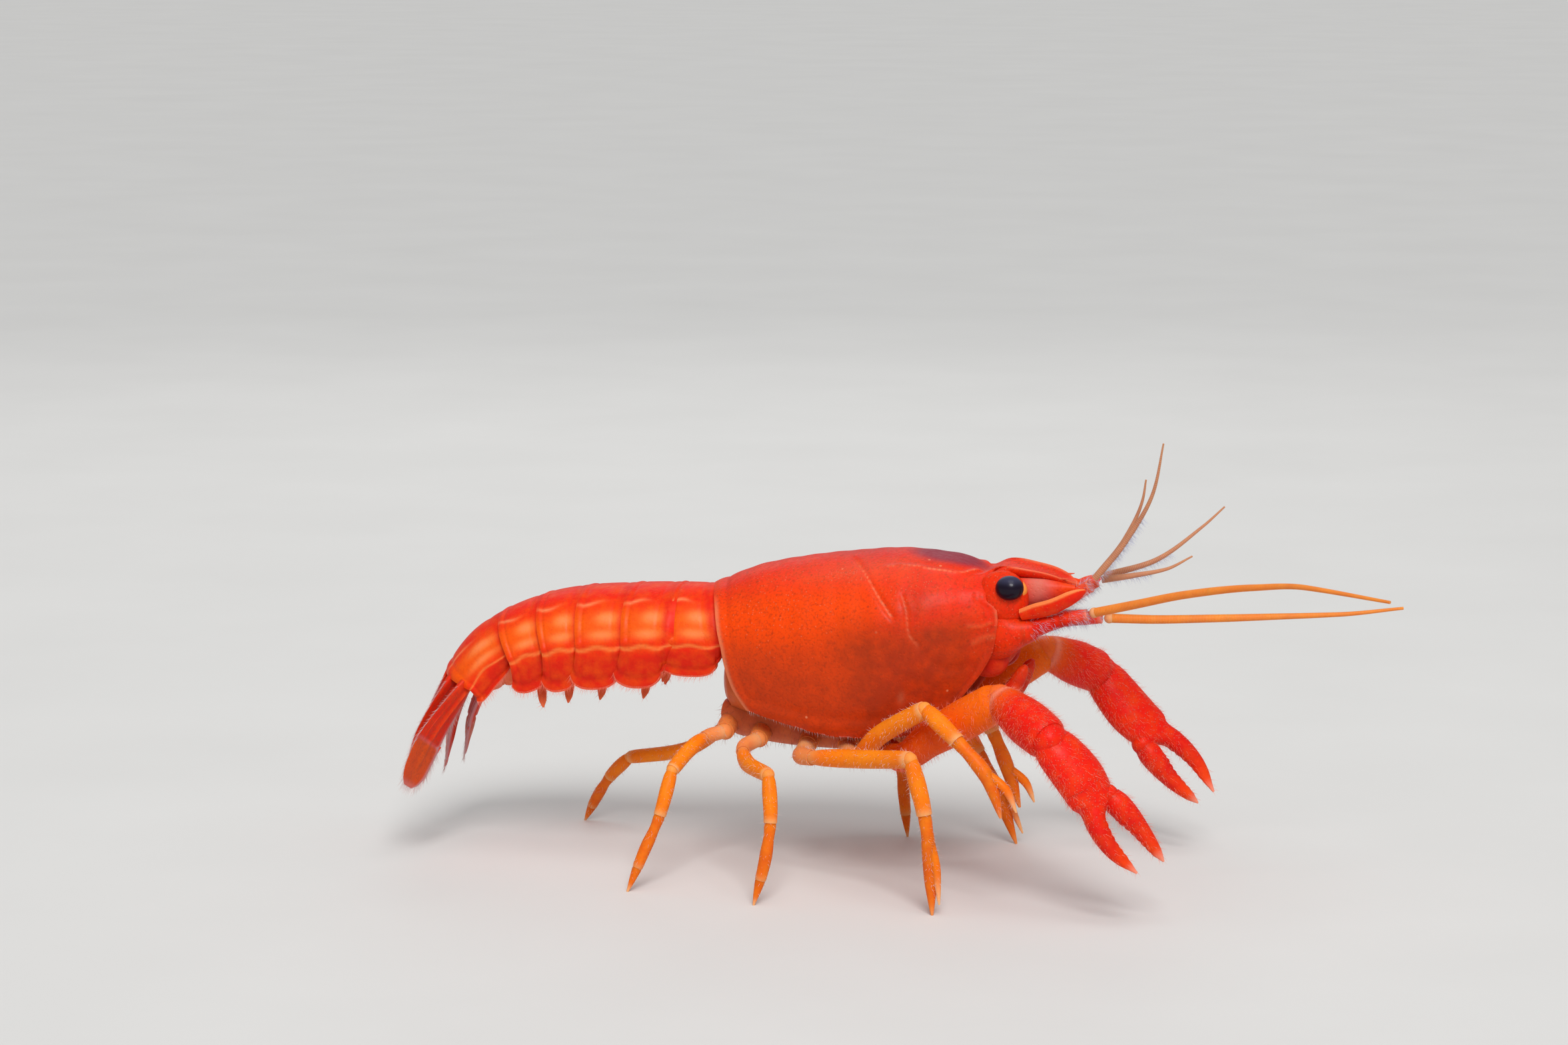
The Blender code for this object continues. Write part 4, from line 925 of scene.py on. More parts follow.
def section_masks(index, place):
    """How gold, pale and deep each point of that section is, with a painted highlight along the shoulder of
    the ring.
    """
    front = ramp(place, 0.0, 0.15)
    upper = bell(PART, 0.45, 0.05) * bell(place, 0.32, 0.2)
    lower = bell(PART, 0.59, 0.035) * bell(place, 0.4, 0.26)
    line = bell(PART, BEND + 0.02 + 0.012 * math.sin(place * 9.0), 0.014)
    # A painted highlight: a thin pale streak along the shoulder of each ring.
    shoulder_highlight = bell(PART, 0.3 + 0.02 * math.sin(place * 7.0 + index), 0.016) * bell(place, 0.75, 0.25)
    gold = np.clip(0.6 * bell(PART, 0.5, 0.14) * front + upper + lower + line + 0.4 * shoulder_highlight, 0.0, 1.0)
    pale = 0.32 * upper + 0.3 * lower + 0.2 * line + 0.4 * shoulder_highlight + 0.25 * ramp(DROP, 0.94, 1.0)
    deep = 0.4 * ramp(DROP, 0.1, 0.4) * (1.0 - ramp(DROP, 0.9, 1.0)) + 0.25 * bell(place, 0.02, 0.08)
    parts = ((gold, 0.0), (np.clip(pale, 0.0, 1.0), 0.45), (deep, 0.0))
    return [np.append(value, np.full(BELOW, beneath)) for value, beneath in parts]


def segment_skin(index):
    """A ring of armour, from the front edge under its neighbour to the rolled rear edge."""
    tuck = segment_span(index)[2]
    places = np.concatenate([np.linspace(-tuck, 0.0, 8)[:-1], shares(46)])
    rings = [section(index, place) for place in places]
    outer = np.array(rings)[8:]
    LOBE_EDGES.append([outer[:, 1], outer[:, 119]])
    rings += [section(index, 1.0, shrink, shift) for shrink, shift in ((0.09, 0.0), (0.12, -0.35))]
    masks = np.array([section_masks(index, place) for place in (*places, 1.0, 1.0)])
    gold, pale, deep = masks.swapaxes(0, 1)
    return skin(rings, "tail_chitin", gold=gold, pale=pale, deep=deep)


# %% Swimmerets
def swimmeret_skins(index, side):
    """The pair of small paddles under one side of a ring: a stalk that forks into two blades."""
    middle = (SEGMENT_ENDS[index] + SEGMENT_ENDS[index + 1]) / 2.0
    point, back, down = tail_frame(middle)
    root = point + down * (BELLY_DEPTH[index] - 0.3) + np.array([0.0, 1.35 * side, 0.0])
    fork = root + down * 0.85 + back * 0.1 + np.array([0.0, 0.2 * side, 0.0])
    places = shares(18)
    stalk = ((0.0, 0.2), (0.7, 0.2), (1.0, 0.16))
    skins = [skin(tube((root, fork), stalk, places=places, sides=14), "tail_chitin", gold=0.4, deep=0.3)]
    for spread, reach, half in ((0.28, 1.6, 0.24), (-0.12, 1.4, 0.19)):
        tip = fork + down * reach + back * 0.42 + np.array([0.0, spread * side, 0.0])
        blade = ((0.0, 0.1), (0.3, half), (0.75, half * 0.85), (1.0, 0.04))
        line = (fork, (fork + tip) / 2.0, tip)
        rings = tube(line, blade, ((0.0, 0.08), (1.0, 0.04)), wide=AHEAD, places=places, sides=14)
        skins.append(skin(rings, "tail_chitin", gold=0.5, deep=0.4, pale=0.25 * places, hair=places))
    return skins


for index in range(6):
    skins = [segment_skin(index)]
    if 1 <= index <= 4:
        skins += swimmeret_skins(index, -1.0) + swimmeret_skins(index, 1.0)
    piece(f"tail_ring_{index + 1}", skins, [f"abdomen_{index + 1}"], fur="tail")

# %% [markdown]
# ## The tail fan
#
# Five thin blades: the middle one ends the body, and two pairs beside it open like a fan. Each has
# a rib along its middle, a seam across it with small spines, and beyond the seam a softer, paler
# part with a fringe. A flat sheet with Solidify would be as thick at its edge as in the middle. A
# very flat tube thins out towards its edges by itself.

# %% Blades
TELSON = {"root": (-21.95, 0.0, 8.5), "tip": (-23.65, 0.0, 3.65)}
INNER_BLADE = {"root": (-21.6, 1.5, 8.32), "tip": (-23.3, 2.5, 3.5)}
OUTER_BLADE = {"root": (-20.9, 2.15, 8.1), "tip": (-22.9, 4.3, 3.8)}
BLADE_HALF_WIDTH = ((0.0, 0.5), (0.3, 0.9), (0.6, 1.05), (0.85, 0.95), (0.95, 0.7), (1.0, 0.36))
TELSON_HALF_WIDTH = ((0.0, 1.2), (0.3, 1.3), (0.62, 1.25), (0.8, 1.12), (0.93, 0.85), (1.0, 0.45))
FRINGE_START = 10  # the ring of a blade from which its fringe grows


def blade_piece(name, shape, widths, side, tilt, seam):
    """One blade of the fan. It returns the line of its edge, and the way its fringe points."""
    root, tip = (np.array(mirrored(shape[end], side)) for end in ("root", "tip"))
    middle = (root + tip) / 2.0 + np.array([-0.25, 0.0, 0.0])
    root = root + unit(root - middle) * 0.5
    sides, rows = 56, 60
    places = 0.5 - 0.5 * np.cos(np.linspace(0.0, math.pi, rows))
    turn = all_round(sides)
    half_thick = ((0.0, 0.26), (0.25, 0.2), (0.8, 0.13), (1.0, 0.05))
    rib = 0.55 * bell(np.cos(turn), 0.0, 0.1) * (1.0 - ramp(places, 0.7, 0.95))[:, None]
    two = 0.22 * bell(np.abs(np.cos(turn)), 0.5, 0.07) * bell(places, 0.45, 0.3)[:, None]
    cut = 1.0 - 0.35 * bell(places, seam, 0.012)[:, None] * np.abs(np.sin(turn))
    rings = tube(
        (root, middle, tip), widths, half_thick, wide=(tilt, side, 0.0), sides=sides, places=places,
        bow=0.1, shape=(1.0 + (rib + two) * np.abs(np.sin(turn))) * cut,
    )
    beyond = ramp(places, seam - 0.01, seam + 0.02)[:, None]
    inner = ramp(-np.cos(turn), 0.7, 0.95)[None, :] * ramp(places, 0.1, 0.3)[:, None]
    seam_line = bell(places, seam, 0.01)[:, None]
    pale = np.clip(0.7 * inner + 0.35 * seam_line + 0.3 * ramp(places, 0.93, 1.0)[:, None], 0.0, 1.0)
    gold = np.clip(0.75 * beyond + 0.3 * bell(np.cos(turn), 0.0, 0.1)[None, :], 0.0, 1.0)
    skins = [skin(rings, "fan_chitin", gold=gold, pale=pale, deep=0.4 * beyond * np.ones((1, sides)))]
    row = int(np.argmin(np.abs(places - seam)))
    out = unit(tip - middle)
    for column in (0, sides // 2):
        base = rings[row][column]
        skins.append(spine(base - out * 0.15, base + out * 0.3, 0.07, "fan_chitin", wide=AHEAD))
    piece(name + "_blade", skins, [name])
    centre_line = route((root, middle, tip), places)

    def around(first, second):
        """Down one edge of the blade and back up the other, from where the fringe starts."""
        return np.concatenate([first[FRINGE_START:], second[:FRINGE_START - 1:-1]])

    edge = around(rings[:, 0], rings[:, sides // 2])
    outwards = unit(edge - around(centre_line, centre_line))
    along = around(places, places)[:, None] ** 2
    return edge, unit(outwards * (1.0 - 0.75 * along) + out * (0.35 + 0.9 * along))


fan_edges = []
blades = [("telson", TELSON, TELSON_HALF_WIDTH, 1.0, 0.0, 0.62)]
for side_name, side in SIDES.items():
    blades.append(("uropod_inner_" + side_name, INNER_BLADE, BLADE_HALF_WIDTH, side, -0.35, 0.93))
    blades.append(("uropod_outer_" + side_name, OUTER_BLADE, BLADE_HALF_WIDTH, side, -0.35, 0.6))
for values in blades:
    fan_edges.append(blade_piece(*values))

# %% [markdown]
# ## Bristles and fringes
#
# Fine hairs edge the tail fan, the claws and the feelers. Particle hair could grow them, but it
# isn't a mesh, and thousands of real bristles can only be placed by a rule, so two node trees do
# it. One strews hairs over a surface where the mask `hair` says so. The other sets them side by
# side along an edge line that carries its own outward direction.

# %% What the trees share
def height_here(tree):
    place = node(tree, "GeometryNodeInputPosition").outputs[0]
    return node(tree, "ShaderNodeSeparateXYZ", {0: place}).outputs["Z"]


def carried(tree, name, kind="FLOAT"):
    """An attribute of the mesh or line that the tree works on."""
    made = node(tree, "GeometryNodeInputNamedAttribute", {"Name": name}, data_type=kind)
    return made.outputs["Attribute"]


def random_value(tree, low, high, seed, kind):
    """A random number or vector between low and high."""
    first = 0 if kind == "FLOAT_VECTOR" else 2
    inputs = {first: low, first + 1: high, "Seed": seed}
    return node(tree, "FunctionNodeRandomValue", inputs, data_type=kind).outputs[first // 2]


def ending(tree, geometry, material):
    """Ends a tree with real geometry in its finish, because an export drops instances."""
    real = node(tree, "GeometryNodeRealizeInstances", {0: geometry}).outputs[0]
    shaded = node(tree, "GeometryNodeSetMaterial", {"Geometry": real, "Material": material}).outputs[0]
    node(tree, "NodeGroupOutput", {"Geometry": shaded})
    return tree


# %% The two hair trees
def bristle(tree, given):
    """A thin bent cone of a few faces, standing on its root."""
    cone = node(tree, "GeometryNodeMeshCone", {
        "Vertices": 3, "Side Segments": 3, "Radius Bottom": given["Radius"], "Radius Top": 0.0,
        "Depth": given["Length"],
    }, fill_type="NONE").outputs["Mesh"]
    up = height_here(tree)
    bend = product(tree, product(tree, up, up), given["Bend"])
    offset = node(tree, "ShaderNodeCombineXYZ", {"X": bend}).outputs[0]
    return node(tree, "GeometryNodeSetPosition", {"Geometry": cone, "Offset": offset}).outputs[0]


def on_edge_line(tree, given):
    """Evenly spaced points along a line, and the outward direction that it carries."""
    curve = node(tree, "GeometryNodeMeshToCurve", {"Mesh": given["Geometry"]}).outputs[0]
    spaced = {"Curve": curve, "Length": given["Spacing"]}
    points = node(tree, "GeometryNodeResampleCurve", spaced, mode="LENGTH").outputs[0]
    return points, carried(tree, "outward", "FLOAT_VECTOR")


def over_surface(tree, given):
    """Points strewn where the mask hair says so, and the way out there. The soles stay bare."""
    off_floor = ranged(tree, height_here(tree), 0.4 * MM, 1.0 * MM)
    density = product(tree, product(tree, given["Density"], carried(tree, "hair")), off_floor)
    strewn = {"Mesh": given["Geometry"], "Density": density, "Seed": given["Seed"]}
    spread = node(tree, "GeometryNodeDistributePointsOnFaces", strewn).outputs
    return spread["Points"], spread["Normal"]


def hair_tree(name, rooted):
    """A tree that sets bristles on the points that the function rooted gives it."""
    tree = bpy.data.node_groups.new(name, "GeometryNodeTree")
    sockets(tree, "INPUT", {
        "Geometry": "Geometry", "Spacing": ("Float", 0.1 * MM), "Density": ("Float", 1e7),
        "Length": ("Float", 0.4 * MM), "Radius": ("Float", 0.01 * MM), "Bend": ("Float", 300.0),
        "Scatter": ("Float", 0.3), "Seed": ("Int", 1), "Lean": "Vector", "Material": "Material",
    })
    sockets(tree, "OUTPUT", {"Geometry": "Geometry"})
    given = node(tree, "NodeGroupInput").outputs
    points, direction = rooted(tree, given)
    low, high = (
        node(tree, "ShaderNodeCombineXYZ", dict.fromkeys("XYZ", value)).outputs[0]
        for value in (product(tree, given["Scatter"], -1.0), given["Scatter"])
    )
    jitter = random_value(tree, low, high, given["Seed"], "FLOAT_VECTOR")
    aim = direction
    for push in (given["Lean"], jitter):
        aim = node(tree, "ShaderNodeVectorMath", {0: aim, 1: push}, operation="ADD").outputs[0]
    turned = node(tree, "FunctionNodeAlignRotationToVector", {"Vector": aim}, axis="Z").outputs[0]
    size = random_value(tree, 0.55, 1.0, given["Seed"], "FLOAT")
    placed = {"Points": points, "Instance": bristle(tree, given), "Rotation": turned, "Scale": size}
    return ending(tree, node(tree, "GeometryNodeInstanceOnPoints", placed).outputs[0], given["Material"])


HAIR = hair_tree("hairs_on_a_surface", over_surface)
FRINGE = hair_tree("hairs_on_an_edge", on_edge_line)
print("trees:", ", ".join(f"{tree.name} with {len(tree.nodes)} nodes" for tree in (HAIR, FRINGE)))

# %% Grow them, and keep a plain mesh
def grown(name, source, tree, values):
    """Runs a node tree on a mesh and dresses the result, a plain mesh, as a piece."""
    holder = linked("holder", source)
    modifier = holder.modifiers.new("growth", "NODES")
    modifier.node_group = tree
    for item in tree.interface.items_tree:
        if item.in_out == "INPUT" and item.name in values:
            modifier[item.identifier] = values[item.name]
    bpy.context.view_layer.update()
    graph = bpy.context.evaluated_depsgraph_get()
    mesh = bpy.data.meshes.new_from_object(holder.evaluated_get(graph))
    holder.modifiers.clear()
    bpy.data.objects.remove(holder)
    mesh.name = name
    print(f"{name}: {len(mesh.polygons)} faces")
    return dressed(name, mesh)


def edge_mesh(lines):
    """Lines of points, each with the direction in which its hairs stand."""
    points, edges, outward = [], [], []
    for line, out in lines:
        start = len(points)
        points += (np.asarray(line) * MM).tolist()
        outward += np.asarray(out).tolist()
        edges += [(start + i, start + i + 1) for i in range(len(line) - 1)]
    mesh = bpy.data.meshes.new("edge")
    mesh.from_pydata(points, edges, [])
    mesh.attributes.new("outward", "FLOAT_VECTOR", "POINT").data.foreach_set("vector", np.ravel(outward))
    return mesh


def fringe(name, lines, finish, spacing, length, scatter, radius=0.009, bend=300.0, seed=5):
    """A row of bristles along each of these lines, each given with the directions of its bristles."""
    grown(name, edge_mesh(lines), FRINGE, {
        "Spacing": spacing * MM, "Length": length * MM, "Radius": radius * MM, "Bend": bend,
        "Scatter": scatter, "Seed": seed, "Material": FINISHES[finish],
    })


fringe("fan_fringe", fan_edges, "pale_bristle", 0.045, 0.62, 0.16, radius=0.011, bend=250.0, seed=3)

# %% [markdown]
# ## The walking legs
#
# Of the four pairs of legs the last three carry the animal, and the first reaches forward. Each leg
# is a row of hard lengths that fit into one another: a short one at the hip, a long thigh up to the
# knee, a short shin, a longer one below it, and a claw-like tip. The first two pairs end in a small
# pincer instead. One bent tube would look like rubber. With a tube for each length, the narrow
# necks and flared mouths show where the leg can bend.

# %% Joints of the legs
LIMB_HIPS = {
    1: (0.2, 2.15, 6.5), 2: (-1.7, 2.2, 6.45), 3: (-3.6, 2.2, 6.45), 4: (-6.0, 2.2, 6.6),
    5: (-7.7, 2.05, 6.85),
}
STUB_REACH = (-0.1, -1.5, 0.3)
LEG_JOINTS = {
    ("right", 2): (
        ((-1.1, -3.4, 6.25), (0.6, -4.75, 7.7), (2.97, -6.0, 9.25)),
        ((4.95, -7.0, 7.8), (6.3, -7.3, 6.3), (6.85, -7.35, 4.65)),
    ),
    ("right", 3): (
        ((-3.6, -3.3, 6.2), (-0.6, -5.4, 6.6), (2.64, -7.4, 7.15)),
        ((3.3, -7.5, 4.7), (3.55, -7.55, 3.0), (3.75, -7.7, 0.0)),
    ),
    ("right", 4): (
        ((-6.4, -3.3, 6.4), (-5.75, -4.9, 5.95), (-4.2, -7.0, 5.95)),
        ((-3.95, -7.6, 3.9), (-4.1, -7.8, 2.4), (-4.65, -8.0, 0.0)),
    ),
    ("right", 5): (
        ((-8.4, -2.9, 6.7), (-8.85, -4.2, 6.3), (-9.3, -5.5, 5.58)),
        ((-9.65, -6.2, 3.7), (-10.4, -6.6, 1.75), (-11.05, -7.0, 0.0)),
    ),
    ("left", 2): (
        ((-1.1, 3.3, 6.25), (0.9, 4.5, 7.3), (2.6, 5.6, 7.9)),
        ((3.75, 6.0, 5.4), (4.4, 6.1, 3.7), (4.9, 6.15, 2.1)),
    ),
    ("left", 3): (
        ((-3.5, 3.4, 6.3), (-1.1, 5.1, 6.8), (1.4, 6.3, 7.1)),
        ((2.4, 6.6, 5.2), (3.5, 7.0, 2.9), (4.5, 7.3, 0.0)),
    ),
    ("left", 4): (
        ((-5.9, 3.5, 6.5), (-3.9, 5.0, 6.4), (-1.7, 6.3, 5.9)),
        ((-1.2, 6.7, 3.8), (-1.1, 7.0, 2.2), (-1.0, 7.4, 0.0)),
    ),
    ("left", 5): (
        ((-8.6, 2.8, 6.3), (-11.4, 3.8, 4.55), (-14.6, 5.0, 3.75)),
        ((-15.7, 5.6, 2.7), (-16.6, 6.2, 1.5), (-17.5, 6.8, 0.0)),
    ),
}
print("legs that reach the floor:", sum(lower[-1][2] == 0.0 for _, lower in LEG_JOINTS.values()))

# %% One leg
LEG_WIDTH = {2: 0.46, 3: 0.44, 4: 0.38, 5: 0.36}
UPPER_LEG = ((0.0, 0.92), (0.18, 0.95), (0.3, 0.86), (0.5, 1.0), (0.9, 0.95), (1.0, 0.84))
LOWER_LEG = ((0.0, 0.78), (0.15, 0.92), (0.36, 0.8), (0.46, 0.66), (0.6, 0.78), (0.76, 0.7), (0.9, 0.42))
LEG_WIDE = (1.0, 0.3, 0.0)
LEG_OPTIONS = {"wide": LEG_WIDE, "sides": 28, "hair": 0.25}


def joint_ball(joints, widths, place, size=0.8, finish="leg_chitin"):
    """The soft skin that shows between two hard lengths."""
    centre = route(joints, np.array([place]))[0]
    return ball(centre, float(profile(widths, place)) * size, finish, pale=0.2, gold=0.6)


def thigh_skins(thigh, half):
    """The skins of a leg above its knee."""
    widths = [(place, share * half) for place, share in UPPER_LEG]
    return [
        article(thigh, widths, (0.0, 0.3), "leg_chitin", pale=lambda s: 0.25 + 0.4 * bell(s, 0.0, 0.4),
                deep=0.3, rows=22, **LEG_OPTIONS),
        joint_ball(thigh, widths, 0.3),
        article(thigh, widths, (0.28, 0.99), "leg_chitin", gold=lambda s: 0.55 * bell(s, 0.62, 0.4),
                pale=lambda s: 0.5 * ramp(s, 0.93, 1.0) + 0.35 * bell(s, 0.0, 0.1), rows=50, **LEG_OPTIONS),
        joint_ball(thigh, widths, 0.995, 0.9),
    ]


# %% Below the knee
PINCER_SPREAD = {2: (0.75, 0.0, 0.2), 3: (0.36, 0.1, 0.0)}
PINCER_LIFT = {2: 0.0, 3: 0.35}
PINCER_WIDTHS = ((0.0, 0.2), (0.4, 0.22), (0.8, 0.13), (1.0, 0.04))
SHIN_ENDS = (0.36, 0.8)  # of its hard lengths


def pincer_finger(number, side, palm, last):
    """The finger that makes a pincer of the end of a leg."""
    aside_by = np.array(mirrored(PINCER_SPREAD[number], side))
    hinge = palm + (palm - last) * 0.25
    point = last + (palm - last) * 0.06 + aside_by + np.array([0.0, 0.0, PINCER_LIFT[number]])
    middle = (hinge + point) / 2.0 + aside_by * 0.35
    places = shares(30)
    rings = tube((hinge, middle, point), PINCER_WIDTHS, places=places, sides=20)
    return skin(rings, "leg_chitin", pale=0.75 * ramp(places, 0.5, 1.0), hair=0.35)


def shin_skins(number, side, shin):
    """The skins of a leg below its knee, down to its tip or its pincer."""
    pincer = number in PINCER_SPREAD
    widths = [(place, share * LEG_WIDTH[number]) for place, share in LOWER_LEG]
    widths.append((1.0, 0.06 if pincer else 0.05))
    first, second = SHIN_ENDS
    skins = [
        article(shin, widths, (0.0, first), "leg_chitin", gold=lambda s: 0.3 * bell(s, 0.5, 0.5),
                pale=lambda s: 0.45 * bell(s, 1.0, 0.1), rows=30, **LEG_OPTIONS),
        joint_ball(shin, widths, first),
        article(shin, widths, (first - 0.02, 1.0 if pincer else second), "leg_chitin",
                deep=lambda s: 0.45 * bell(s, 0.55, 0.5), pale=lambda s: 0.3 * bell(s, 1.0, 0.08),
                rows=46, mouth=not pincer, **LEG_OPTIONS),
    ]
    if pincer:
        return [*skins, pincer_finger(number, side, *np.array(shin[-2:]))]
    return [
        *skins, joint_ball(shin, widths, second),
        article(shin, widths, (second - 0.015, 1.0), "leg_chitin", neck=0.8, mouth=False, rows=30,
                deep=lambda s: 0.5 * (1.0 - s), pale=lambda s: 0.7 * ramp(s, 0.6, 1.0), **LEG_OPTIONS),
    ]


for (name, number), (upper, lower) in LEG_JOINTS.items():
    side = SIDES[name]
    thigh = (mirrored(LIMB_HIPS[number], side), *upper)
    for part, solid, skins in (
        ("thigh", "upper", thigh_skins(thigh, LEG_WIDTH[number])),
        ("shin", "lower", shin_skins(number, side, (thigh[-1], *lower))),
    ):
        nodes = [f"leg_{number}_{solid}_{name}"]
        piece(f"leg_{number}_{part}_{name}", skins, nodes, fur="leg_" + name)

# %% [markdown]
# ## The claws
#
# The limbs in front of the walking legs carry the claws. The arm rises to the elbow, a thick wrist
# turns it forward, and the hand ends in one fixed finger and one that moves against it, both with
# blunt teeth. The gap between the fingers could be cut with a Boolean. Here the hand itself narrows
# to the fixed finger, which keeps its surface smooth, and the teeth are small waves on the inner
# edges.

# %% Joints of the arms
ARM_JOINTS = {
    "right": {
        "arm": ((1.1, -3.2, 6.3), (2.9, -4.35, 7.55), (6.3, -5.2, 9.7)),
        "wrist": (9.05, -7.4, 8.4),
        "axis": (0.64, -0.02, -0.77),
        "spread": (0.53, 0.67, 0.52),
        "length": 7.15,
    },
    "left": {
        "arm": ((1.1, 3.2, 6.3), (3.3, 4.35, 8.05), (6.33, 5.0, 10.15)),
        "wrist": (8.55, 7.3, 8.75),
        "axis": (0.66, -0.02, -0.75),
        "spread": (-0.5, -0.7, -0.5),
        "length": 7.95,
    },
}
ARM_WIDTHS = ((0.0, 0.55), (0.3, 0.72), (0.75, 0.95), (0.93, 0.92), (1.0, 0.74))
WRIST_WIDTHS = ((0.0, 0.72), (0.25, 0.9), (0.65, 1.08), (0.9, 1.04), (1.0, 0.9))
PALM_WIDTHS = (
    (0.0, 0.92), (0.1, 1.1), (0.28, 1.2), (0.42, 1.14), (0.485, 0.94), (0.52, 0.64), (0.57, 0.5),
    (0.7, 0.42), (0.86, 0.31), (1.0, 0.05),
)
PALM_HEIGHTS = ((0.0, 0.7), (0.15, 0.84), (0.3, 0.86), (0.5, 0.6), (0.7, 0.42), (1.0, 0.05))
FINGER_WIDTHS = ((0.0, 0.5), (0.12, 0.58), (0.5, 0.42), (0.85, 0.24), (1.0, 0.04))
HAND_LINE = ((0.0, 0.0), (0.38, 0.0), (0.5, -0.05), (0.6, -0.1), (0.78, -0.125), (1.0, -0.085))
FINGER_LINE = {
    "right": ((0.52, 0.098), (0.75, 0.125), (1.05, 0.115)),
    "left": ((0.52, 0.088), (0.75, 0.095), (0.99, 0.05)),
}
KNUCKLE = (0.5, 0.088)
print("lengths of the hands:", {name: pose["length"] for name, pose in ARM_JOINTS.items()})


# %% Arm and wrist
def claw_piece(part, name, skins):
    piece(f"claw_{part}_{name}", skins, [f"cheliped_{part}_{name}"], fur="claw_" + name)


def claw_frame(name):
    """The wrist of a claw, and the directions along its hand and across it."""
    pose = ARM_JOINTS[name]
    axis, spread = unit(pose["axis"]), unit(pose["spread"])
    return np.array(pose["wrist"]), axis, unit(spread - axis * np.dot(axis, spread))


def arm_and_wrist(name):
    wrist, _, spread = claw_frame(name)
    arm = (mirrored(LIMB_HIPS[1], SIDES[name]), *ARM_JOINTS[name]["arm"])
    elbow = np.array(arm[-1])
    claw_piece("arm", name, [
        article(arm, ARM_WIDTHS, (0.0, 0.27), "tail_chitin", gold=0.7, deep=0.3, rows=24, sides=40,
                hair=0.3),
        joint_ball(arm, ARM_WIDTHS, 0.27, 0.8, "tail_chitin"),
        article(arm, ARM_WIDTHS, (0.25, 1.0), "tail_chitin", gold=lambda s: 0.7 + 0.3 * bell(s, 0.9, 0.2),
                neck=0.9, deep=lambda s: 0.3 * bell(s, 0.1, 0.3), rows=70, sides=40, hair=0.4, grain=0.2),
        ball(elbow, 0.72, "tail_chitin", rows=20, size=32, gold=0.8, pale=0.1),
    ])
    line = (elbow - unit(wrist - elbow) * 0.25, wrist)
    groove = bell(shares(56), 0.12, 0.05)[:, None] * bell(np.cos(all_round(44)), 0.0, 0.6)[None, :]
    claw_piece("wrist", name, [
        article(line, WRIST_WIDTHS, (0.0, 1.0), "claw_chitin", wide=spread, neck=0.92, lip=0.02, rows=56,
                sides=44, gold=lambda s: 1.0 - ramp(s, 0.1, 0.5), pale=lambda s: 0.4 * bell(s, 0.12, 0.05),
                shape=1.0 - 0.08 * groove, hair=0.8, grain=0.5),
        ball(wrist, 0.86, "claw_chitin", rows=20, size=32, grain=0.5),
    ])


# %% Hand and moving finger
def fuzzy(turn, rows):
    """The mask of hairs, strongest on both edges of a flat limb."""
    return np.tile(0.25 + 0.75 * ramp(np.abs(np.cos(turn)), 0.55, 0.9), (rows, 1))


def toothed(places, turn, side, first, count):
    """Blunt teeth on one edge of a finger, from this share of its length on."""
    facing = ramp(side * np.cos(turn), 0.7, 1.0)[None, :]
    teeth = np.abs(np.sin(places * count)) ** 0.7 * ramp(places, first, first + 0.08)
    return 0.14 * teeth[:, None] * facing


def on_hand(name, line):
    """Places along the hand and across it, as shares of its length."""
    wrist, axis, spread = claw_frame(name)
    length = ARM_JOINTS[name]["length"]
    return [tuple(wrist + (axis * along + spread * off) * length) for along, off in line]


def hand(name):
    places, turn = shares(110), all_round(48)
    neck = 0.95 + 0.05 * ramp(places, 0.0, 0.05)[:, None]
    rings = tube(on_hand(name, HAND_LINE), PALM_WIDTHS, PALM_HEIGHTS, wide=claw_frame(name)[2], sides=48,
                 places=places, shape=neck * (1.0 + toothed(places, turn, 1.0, 0.56, 62.0)))
    claw_piece("hand", name, [skin(
        rings, "claw_chitin", gold=0.5 * ramp(places, 0.7, 0.95), hair=fuzzy(turn, 110),
        pale=0.6 * ramp(places, 0.9, 1.0), grain=0.6 - 0.5 * ramp(places, 0.55, 0.8),
        deep=0.35 * bell(places, 0.72, 0.14),
    )])


def moving_finger(name):
    places, turn = shares(70), all_round(36)
    rings = tube(on_hand(name, FINGER_LINE[name]), FINGER_WIDTHS, wide=claw_frame(name)[2], sides=36,
                 places=places, shape=1.0 + toothed(places, turn, -1.0, 0.2, 34.0))
    claw_piece("finger", name, [
        skin(rings, "claw_chitin", pale=0.65 * ramp(places, 0.8, 1.0), gold=0.5 * ramp(places, 0.5, 0.9),
             hair=fuzzy(turn, 70), grain=0.5 - 0.4 * ramp(places, 0.3, 0.7),
             deep=0.35 * bell(places, 0.45, 0.25)),
        ball(on_hand(name, [KNUCKLE])[0], 0.52, "claw_chitin", rows=22, size=34, grain=0.4),
    ])


for name in SIDES:
    arm_and_wrist(name)
    hand(name)
    moving_finger(name)

# %% [markdown]
# ## The front of the head
#
# Under the beak lies a small face of softer plates, which the eyes and feelers grow from. A rim of
# skin stands around each eye, and a cheek beside the mouth. They could be sculpted in one piece,
# but rings and oval knobs that sink into one another look the same, and each can be moved alone.
# The eyes sit on short stalks and are cut into fine facets, and a painted reflection lightens the top of
# each.

